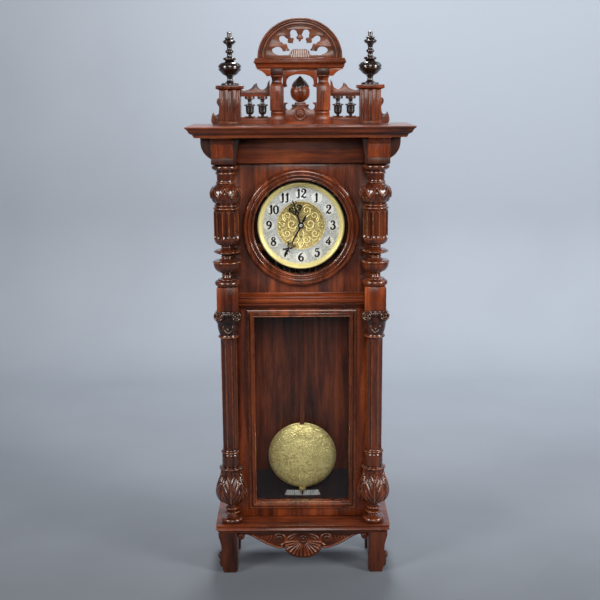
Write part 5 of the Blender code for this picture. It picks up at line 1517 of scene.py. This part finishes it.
class CLOCK_OT_dial_ring(bpy.types.Operator):
    """The reeded ring round the dial"""

    bl_idname = "wall_clock.dial_ring"
    bl_label = "Dial ring"

    def execute(self, context):
        at = Space("dial_ring")
        outer = at.width / 2 / MM
        steps = [
            (0, 98.0), (4.5, 98.0), (5.4, 99.0), (6.0, 103.4, 0.42), (5.0, 104.4), (5.2, 105.4),
            (11.8, 107.2), (13.0, 110.2, 0.40), (10.6, 111.4), (11.4, 112.4), (14.6, 114.2),
            (13.6, 119.0, 0.14), (10.0, 120.4), (9.4, 121.2), (5.0, outer, 0.12), (0, outer),
        ]
        piece = ring("ring_turning", scaled(raised(steps)), (at.x, at.back, at.z), 144)
        placed(piece, "ring_wood", "door", "dial_ring", smooth=40)
        return {"FINISHED"}


# ---------------------------------------------------------------- dial and hands

# x and z from the dial's centre in millimetres, and size
WINDING_HOLES = ((-45, 0, 1.0), (45, 0, 1.0), (0, -24.6, 0.72))

DIGITS = {
    "0": [
        [
            (30, 100, 5), (8, 76, 9), (6, 50, 11), (10, 22, 9), (30, 0, 5), (50, 22, 9), (55, 50, 11),
            (52, 76, 9), (31, 99, 5),
        ],
    ],
    "1": [
        [
            (6, 78, 3), (18, 84, 4), (30, 100, 7), (30, 72, 10), (30, 34, 10), (28, 8, 9), (12, 0, 4),
            (2, 6, 5),
        ],
    ],
    "2": [
        [
            (22, 66, 8), (12, 78, 7), (16, 94, 5), (34, 100, 6), (52, 86, 11), (50, 64, 10), (34, 42, 6),
            (14, 20, 5), (4, 4, 5),
        ],
        [(4, 4, 5), (20, 14, 8), (38, 4, 9), (54, 6, 5), (62, 20, 3)],
    ],
    "3": [
        [(18, 80, 7), (14, 94, 5), (34, 100, 6), (50, 84, 10), (42, 62, 6), (28, 56, 4)],
        [(28, 56, 4), (48, 50, 8), (56, 28, 11), (44, 6, 8), (24, 0, 5), (8, 12, 6), (16, 26, 7)],
    ],
    "4": [
        [(46, 100, 5), (30, 66, 6), (4, 34, 6), (30, 30, 7), (62, 38, 4)],
        [(44, 66, 6), (42, 30, 10), (38, 0, 7)],
    ],
    "5": [
        [(58, 102, 4), (40, 92, 7), (20, 96, 6), (16, 60, 4)],
        [(16, 60, 4), (34, 66, 6), (54, 46, 11), (50, 16, 10), (30, 0, 6), (10, 10, 7), (18, 24, 7)],
    ],
    "6": [
        [
            (50, 96, 3), (30, 84, 7), (10, 54, 10), (8, 24, 10), (28, 0, 6), (50, 14, 10), (52, 38, 8),
            (34, 52, 5), (20, 38, 4),
        ],
    ],
    "7": [[(4, 76, 4), (10, 94, 7), (30, 92, 8), (58, 100, 5), (44, 64, 7), (30, 30, 10), (26, 0, 8)]],
    "8": [
        [
            (30, 100, 5), (12, 80, 8), (26, 58, 9), (50, 36, 11), (48, 10, 8), (28, 0, 5), (8, 14, 8),
            (10, 38, 7), (34, 58, 5), (48, 80, 7), (31, 100, 5),
        ],
    ],
    "9": [
        [
            (10, 4, 3), (30, 16, 7), (50, 46, 10), (52, 76, 10), (32, 100, 6), (10, 86, 10), (8, 62, 8),
            (26, 48, 5), (40, 62, 4),
        ],
    ],
}


class CLOCK_OT_dial(bpy.types.Operator):
    """The dial: silvered chapter ring, embossed brass centre, black numerals and winding collets"""

    bl_idname = "wall_clock.dial"
    bl_label = "Dial"

    def execute(self, context):
        sizes = context.scene.clock_sizes
        at = Space("dial")
        face = (at.x, at.front, at.z)
        inner, outer = sizes.centre_radius / MM, at.width / 2 / MM
        chapter = [
            (-2.0, inner - 1.5), (0.0, inner - 1.5), (0.5, inner + 0.4, 0.2), (0.5, outer - 6.2),
            (0.3, outer - 5.8), (0.5, outer - 5.2), (0.5, outer), (-2.0, outer),
        ]
        disc = ring("chapter_ring", scaled(raised(chapter)), face, 120)
        placed(disc, "silvered", "case", "dial", smooth=30)
        plate = [
            (-1.8, inner - 1.2), (0.2, inner - 1.2), (0.9, inner - 1.6), (1.1, inner - 2.8, 0.3),
            (0.5, inner - 3.6), (0.5, 8.2), (1.0, 7.8), (1.0, 4.0),
        ]
        centre = spun("centre_disc", plate, face, 96)
        work = []
        for side in (-1, 1):
            curls = [
                spiral(19, 3, 11, 205, 1.25, 1.5), spiral(30, -17, 9, 20, -1.3, 1.3),
                spiral(28, 20, 8.5, 300, 1.3, 1.2), spiral(11, -31, 9, 60, -1.25, 1.4),
                spiral(12, 31, 8.5, 330, 1.25, 1.3), spiral(40, 1, 5, 90, 1.0, 0.9),
            ]
            leaves = [
                [(3, -10, 0.8), (6, -20, 1.6), (3, -29, 0.7)], [(8, 12, 0.7), (13, 18, 1.5), (22, 26, 0.6)],
                [(21, -28, 0.7), (28, -32, 1.4), (35, -29, 0.6)],
                [(2, -34, 0.6), (5, -40, 1.5), (1, -47, 0.7)], [(33, 8, 0.6), (38, 14, 1.3), (38, 24, 0.5)],
                [(4, 38, 0.7), (10, 43, 1.3), (20, 42, 0.6)],
                [(36, -8, 0.6), (42, -13, 1.3), (41, -22, 0.5)],
                [(10, -3, 0.6), (15, -12, 1.4), (24, -9, 0.6)],
            ]
            work += [[(side * x, z, r) for x, z, r in path] for path in curls + leaves]
        emboss = on_face("emboss", work, (at.x, at.front - 0.0008, at.z), 1.0)
        placed(joined("dial_centre", [centre, emboss]), "dial_brass", "case", smooth=50)
        self.numerals(at, sizes)
        line = [(0.4, inner - 0.6), (0.62, inner - 0.6), (0.62, inner + 0.3), (0.4, inner + 0.3)]
        placed(ring("dial_line", scaled(line), face, 96), "blued", "case")
        self.winding_holes(at)
        self.bezel()
        return {"FINISHED"}

    def winding_holes(self, at):
        """A brass lozenge and a collar for each hole, and a blue-black disc of painted shade that closes it.
        """
        collets = []
        for x, z, size in WINDING_HOLES:
            lozenge = [(5.8 * size, 0), (0, 7.2 * size), (-5.8 * size, 0), (0, -7.2 * size)]
            loop = shifted(scaled(lozenge), x * MM, z * MM)
            hole = arc(x * MM, z * MM, 2.6 * size * MM, 0, 330, 11)
            loops = [[(*p, 1) for p in loop], hole]
            collets.append(fret("collet", loops, (at.x, at.front - 0.0009, at.z), 0.0016, 0.0004))
            well = scaled([(-1.0, 2.7 * size), (1.35, 2.7 * size), (1.35, 2.2 * size), (-0.8, 2.2 * size)])
            collets.append(ring("well", well, (at.x + x * MM, at.front, at.z + z * MM), 24))
        placed(joined("winding_collets", collets), "brass", "case")
        # painted shade: a thin blue-black disc closes each hole and stands for the dark depth of the hole
        shade_discs = []
        for x, z, size in WINDING_HOLES:
            dark = scaled([(0.4, 2.3 * size), (0.62, 2.3 * size)])
            shade_discs.append(turned("dark", dark, (at.x + x * MM, at.front, at.z + z * MM), 20, "front"))
        placed(joined("winding_shade_discs", shade_discs), "blued", "case")

    def bezel(self):
        """The polished rim round the dial."""
        at = Space("bezel")
        profile = [
            (0, 81.5), (3.4, 81.5), (4.4, 82.4), (8.0, 85.4, 0.1), (9.6, 87.0, 0.1), (10.4, 89.2, 0.2),
            (8.8, 91.2, 0.2), (5.4, 91.9, 0.1), (3, 90.8, -0.2), (2.0, 92), (0, 92),
        ]
        bezel = ring("bezel_turning", scaled(raised(profile)), (at.x, at.back, at.z), 144)
        placed(bezel, "bezel_brass", "case", "bezel", smooth=40)

    def numerals(self, at, sizes):
        """Upright Arabic hours, drawn as curling strokes."""
        scale = sizes.numeral_height / MM / 100
        paths = []
        for hour in range(1, 13):
            angle = TURN * hour / 12
            middle = sizes.numeral_radius / MM
            x0, z0 = middle * math.sin(angle), middle * math.cos(angle)
            word = str(hour)
            advance = 62 if len(word) == 1 else 54
            width = advance * len(word)
            for place, digit in enumerate(word):
                shift = place * advance - width / 2
                if len(word) == 2:
                    shift += 2
                for stroke in DIGITS[digit]:
                    path = [(x0 + (x + shift) * scale, z0 + (z - 50) * scale, r) for x, z, r in stroke]
                    paths.append([(x, z, (r * 1.18 + 1.6) * scale) for x, z, r in path])
        piece = on_face("numerals", paths, (at.x, at.front - 0.0005, at.z), 0.22)
        placed(piece, "numeral_black", "case", smooth=50)


def turned_hand(piece, angle, at):
    """Turn a hand that was drawn upright, clockwise as its dial is read, about the dial's centre."""
    work_on(piece)
    matrix = Matrix.Translation(at) @ Matrix.Rotation(angle, 4, "Y") @ Matrix.Translation(-at)
    piece.matrix_world = matrix
    bpy.ops.object.transform_apply()
    return piece


class CLOCK_OT_hands(bpy.types.Operator):
    """The blued hands: scrolled hour hand, pierced minute hand with a beaded tail, and their nut"""

    bl_idname = "wall_clock.hands"
    bl_label = "Hands"

    def execute(self, context):
        sizes = context.scene.clock_sizes
        dial = Space("dial")
        axis = Vector((dial.x, 0, dial.z))
        at = Space("hour_hand")
        face = at.front + 0.0012
        paths = [
            [(0, 5, 2.4), (0, 22, 1.7)],
            [(0, 22, 1.5), (-3.4, 27, 1.3), (0, 31, 1.5), (3.4, 27, 1.3), (0, 22, 1.5)],
            [(0, 31, 1.6), (0, 41, 1.5), (0, 52, 1.2), (0, 57, 0.5)],
        ]
        for side in (-1, 1):
            scroll = spiral(side * 8.0, 38.5, 5.6, 270, side * 1.2, 1.9, 12)
            paths.append([(0, 31, 1.1), (side * 4, 33, 1.2), *scroll])
            paths.append([(0, 30, 0.9), (side * 5, 27.5, 1.3), (side * 8.6, 30.5, 0.7)])
            leaf = [(0, 44, 0.9), (side * 4, 46.5, 1.2), (side * 6.6, 50, 0.6), (side * 4.4, 51.6, 0.7)]
            paths.append(leaf)
        middle = (dial.x, face, dial.z)
        hand = on_face("hand", paths, middle, 0.45)
        boss = spun("boss", [(-1.0, 6.6), (0.9, 6.6), (1.5, 5.8, 0.3), (1.5, 3.0)], middle, 32)
        pipe = ring("pipe", scaled([(-14.5, 3.0), (0, 3.0), (0, 2.3), (-14.5, 2.3)]), middle, 24)
        turned_hand(hand, sizes.hour_angle, axis)
        placed(joined("hour_hand_work", [hand, boss, pipe]), "blued", "hour_hand", "hour_hand", smooth=50)
        at = Space("minute_hand")
        face = at.front + 0.0024
        paths = [
            [(0, 5, 2.2), (0, 20, 1.8), (0, 41, 1.4)],
            [(0, 56, 1.3), (0, 62, 1.4), (0, 70, 1.1), (0, 75.4, 0.4)],
            [(0, -4, 2.2), (0, -9, 1.7), (0, -13, 3.2), (0, -16, 1.9), (0, -19.5, 2.8), (0, -24.6, 0.6)],
        ]
        for side in (-1, 1):
            heart = [(0, 41, 1.0), (side * 3.6, 44, 1.0), (side * 5.6, 48.5, 1.5), (side * 3.0, 53, 1.3)]
            paths.append([*heart, (0, 56, 1.0)])
            paths.append([(0, 45, 0.6), (side * 2.2, 49, 0.8), (0, 53, 0.6)])
            paths.append(spiral(side * 7.0, 43.6, 2.6, 120 if side > 0 else 60, side * -1.0, 0.9, 8))
            paths.append([(0, 60.5, 0.8), (side * 3.2, 59.6, 1.2), (side * 5.4, 62.0, 0.5)])
            paths.append([(0, 65, 0.7), (side * 2.4, 66.4, 0.9), (side * 2.8, 69, 0.4)])
        middle = (dial.x, face, dial.z)
        hand = on_face("hand", paths, middle, 0.5)
        boss = spun("boss", [(-0.9, 5.6), (0.9, 5.6), (1.5, 4.8, 0.3), (1.5, 2.2)], middle, 32)
        arbor = spun("arbor", [(-24, 1.4), (0, 1.4)], middle, 20)
        turned_hand(hand, sizes.minute_angle, axis)
        work = joined("minute_hand_work", [hand, boss, arbor])
        placed(work, "blued", "minute_hand", "minute_hand", smooth=50)
        nut = [(1.2, 3.2), (2.0, 3.4, 0.2), (2.9, 2.6, 0.3), (3.1, 1.0, 0.2)]
        nut = spun("hand_nut", nut, (dial.x, face + 0.0007, dial.z), 24)
        placed(nut, "steel", "minute_hand")
        return {"FINISHED"}


# ---------------------------------------------------------------- movement and pendulum


class CLOCK_OT_pendulum(bpy.types.Operator):
    """The etched brass bob with its rolled edge, the wooden rod and the silvered beat scale"""

    bl_idname = "wall_clock.pendulum"
    bl_label = "Pendulum"

    def execute(self, context):
        at = Space("pendulum_bob")
        radius, half = at.width / 2 / MM, at.depth / 2 / MM
        steps = [
            (-half * 0.72, 2.5), (-half * 0.5, radius * 0.6, 0.04), (-2.2, radius * 0.97, 0.04),
            (-1.2, radius - 0.6), (0.8, radius - 0.4, 0.5), (1.4, radius - 1.2),
            (half * 0.42, radius * 0.90, 0.06), (half * 0.80, radius * 0.55, 0.04), (half, 0.8, 0.03),
        ]
        shape = refined(scaled(moulded(steps)), 0.003)
        bob = turned("bob_turning", shape, (at.x, at.y, at.z), 120, "front")
        placed(bob, "etched_brass", "pendulum", "pendulum_bob", smooth=40)
        softened("pendulum_rod", "rod", "pendulum", 0.0008)
        at = Space("rating_nut")
        shape = []
        for i in range(30):
            angle, r = TURN * i / 30, 7.3 if i % 2 else 6.7
            shape.append((at.x + r * MM * math.cos(angle), at.y + r * MM * math.sin(angle)))
        nut = eased(prism("rating_nut_knurled", shape, "z", at.bottom, at.top), 0.0003)
        placed(nut, "brass", "rating_nut", "rating_nut")
        self.beat_scale()
        return {"FINISHED"}

    def beat_scale(self):
        """A curved silvered plate with a tick for each degree."""
        at = Space("beat_scale")
        pivot = Space("anchor").top - 0.004
        low = pivot - at.bottom
        spread = math.degrees(math.asin(at.width / 2 / low)) * 0.98
        outer = arc(0, 0, low, -90 - spread, -90 + spread, 14)
        inner = arc(0, 0, low - at.height * 0.52, -90 + spread * 0.9, -90 - spread * 0.9, 14)
        loop = [(*p, 1) if i in (0, 14) else p for i, p in enumerate(outer)]
        loop += [(*p, 1) if i in (0, 14) else p for i, p in enumerate(inner)]
        plate = fret("beat_plate", [loop], (at.x, at.y, pivot), at.depth, 0.0004)
        placed(plate, "silver_plate", "case", "beat_scale")
        ticks = []
        for i in range(-8, 9):
            angle = math.radians(-90 + i * spread / 9)
            reach = 0.010 if i % 4 == 0 else 0.0065
            start, end = low - at.height * 0.50, low - at.height * 0.50 + reach
            thick = 0.0005 if i % 4 == 0 else 0.00028
            ticks.append([(r * math.cos(angle), r * math.sin(angle), thick) for r in (start, end)])
        marks = strokes("beat_ticks", ticks, (at.x, at.front, pivot), 0.3, 2)
        placed(marks, "numeral_black", "case")


class CLOCK_OT_movement(bpy.types.Operator):
    """The brass plates, barrels, wheels, gong and hammer, and the wood they stand on"""

    bl_idname = "wall_clock.movement"
    bl_label = "Movement"

    def execute(self, context):
        barrels = [f"winding_barrel_{name}" for name in SIDES]
        plates = ["back_plate", "front_plate", "centre_wheel", "escape_wheel"]
        for node in (*plates, *barrels, "hinge_upper", "hinge_lower", "door_hook"):
            refinished(node, "brass")
        for node in ("anchor", "pendulum_hook", "gong", "strike_hammer", "wall_hanger"):
            refinished(node, "steel")
        softened("seatboard", "walnut_across", "case")
        return {"FINISHED"}


class CLOCK_OT_case(bpy.types.Operator):
    """The case's sides and back, and the two panes of glass"""

    bl_idname = "wall_clock.case"
    bl_label = "Case and glass"

    def execute(self, context):
        for node in ("side_left", "side_right"):
            softened(node, "walnut_up", "case")
        softened("backboard", "back_board", "case")
        for node in ("dial_glass", "long_glass"):
            refinished(node, "glass")
        return {"FINISHED"}


# ---------------------------------------------------------------- stage

LIGHTS = (  # name, place, what it points at, width, power and colour
    ("key_left", (-2.0, -1.6, 1.7), (0, 0, 0.6), 0.8, 56, (1.0, 0.96, 0.91)),
    ("key_right", (2.1, -1.3, 1.6), (0, 0, 0.65), 0.8, 64, (1.0, 0.97, 0.93)),
    ("front", (0.1, -2.9, 2.3), (0, 0, 0.5), 1.1, 50, (1.0, 0.97, 0.93)),
    ("behind", (0.05, 1.1, 2.6), (0, -0.6, 0.0), 0.5, 60, (1, 1, 1)),
    ("wall_right", (1.9, 0.7, 2.3), (1.2, 2.1, 1.2), 1.0, 26, (0.93, 0.96, 1.0)),
)
LENS = 63.84
CAMERA_HEIGHT, CAMERA_DISTANCE = 1.0385, 2.30  # the distance is from the back of the clock's box
CAMERA_PITCH, CAMERA_ROLL = -11.43, -0.37


class CLOCK_OT_stage(bpy.types.Operator):
    """A pale floor that curves up into a backdrop, soft lights and the camera"""

    bl_idname = "wall_clock.stage"
    bl_label = "Stage"

    def execute(self, context):
        back, reach = CAD_BOX[1].y + 1.35, 0.55
        angles = [math.pi / 2 * i / 14 for i in range(15)]
        sweep = [(-6, 0)] + [(back + reach * math.sin(a), reach * (1 - math.cos(a))) for a in angles]
        sweep.append((back + reach, 5.5))
        floor = drawn("floor", [(-6, y, z) for y, z in sweep])
        bpy.ops.mesh.extrude_region_move(TRANSFORM_OT_translate={"value": (12, 0, 0)})
        bpy.ops.object.mode_set(mode="OBJECT")
        floor.data.materials.append(MATERIALS["paper"])
        work_on(floor)
        bpy.ops.object.shade_smooth()
        for settings in LIGHTS:
            self.light(*settings)
        world = bpy.data.worlds.new("studio")
        world.use_nodes = True
        background = world.node_tree.nodes["Background"].inputs
        background["Color"].default_value = (0.70, 0.72, 0.76, 1)
        background["Strength"].default_value = 0.14
        context.scene.world = world
        self.camera(context)
        context.scene.view_settings.view_transform = "Standard"
        return {"FINISHED"}

    def light(self, name, place, target, size, power, shade):
        data = bpy.data.lights.new(name, "AREA")
        data.shape = "RECTANGLE"
        data.size, data.size_y = size, size * 1.6
        data.energy = power
        data.color = shade
        lamp = bpy.data.objects.new(name, data)
        bpy.context.collection.objects.link(lamp)
        lamp.location = place
        lamp.rotation_euler = (Vector(target) - Vector(place)).to_track_quat("-Z", "Y").to_euler()

    def camera(self, context):
        data = bpy.data.cameras.new("camera")
        data.lens = LENS
        data.clip_start = 0.01
        camera = bpy.data.objects.new("camera", data)
        bpy.context.collection.objects.link(camera)
        camera.location = (-0.003, CAD_BOX[1].y - CAMERA_DISTANCE, CAMERA_HEIGHT)
        pitch = Matrix.Rotation(math.radians(90 + CAMERA_PITCH), 3, "X")
        camera.rotation_euler = (pitch @ Matrix.Rotation(math.radians(CAMERA_ROLL), 3, "Z")).to_euler()
        context.scene.camera = camera


PIECES = (
    CLOCK_OT_lunette,
    CLOCK_OT_entablature,
    CLOCK_OT_pilasters,
    CLOCK_OT_crown_panel,
    CLOCK_OT_bud,
    CLOCK_OT_pedestals,
    CLOCK_OT_finials,
    CLOCK_OT_galleries,
    CLOCK_OT_brackets,
    CLOCK_OT_cornice,
    CLOCK_OT_plinth,
    CLOCK_OT_feet,
    CLOCK_OT_apron,
    CLOCK_OT_case,
    CLOCK_OT_door,
    CLOCK_OT_upper_columns,
    CLOCK_OT_lower_columns,
    CLOCK_OT_dial_ring,
    CLOCK_OT_dial,
    CLOCK_OT_hands,
    CLOCK_OT_pendulum,
    CLOCK_OT_movement,
    CLOCK_OT_stage,
)


class CLOCK_PT_panel(bpy.types.Panel):
    """The clock's sizes, colours and pieces"""

    bl_idname = "CLOCK_PT_panel"
    bl_label = "Wall clock"
    bl_space_type = "VIEW_3D"
    bl_region_type = "UI"
    bl_category = "Wall clock"

    def draw(self, context):
        for group in (context.scene.clock_sizes, context.scene.clock_colours):
            box = self.layout.box()
            for name in group.__annotations__:
                box.prop(group, name)
        for piece in PIECES:
            self.layout.operator(piece.bl_idname)


CLASSES = (ClockSizes, ClockColours, *PIECES, CLOCK_PT_panel)


def register():
    for kind in CLASSES:
        bpy.utils.register_class(kind)
    bpy.types.Scene.clock_sizes = bpy.props.PointerProperty(type=ClockSizes)
    bpy.types.Scene.clock_colours = bpy.props.PointerProperty(type=ClockColours)


def unregister():
    del bpy.types.Scene.clock_colours
    del bpy.types.Scene.clock_sizes
    for kind in reversed(CLASSES):
        bpy.utils.unregister_class(kind)


def main():
    register()
    make_materials()
    for piece in PIECES:
        group, operator = piece.bl_idname.split(".")
        getattr(getattr(bpy.ops, group), operator)()
    work_on()


if __name__ == "__main__":
    main()
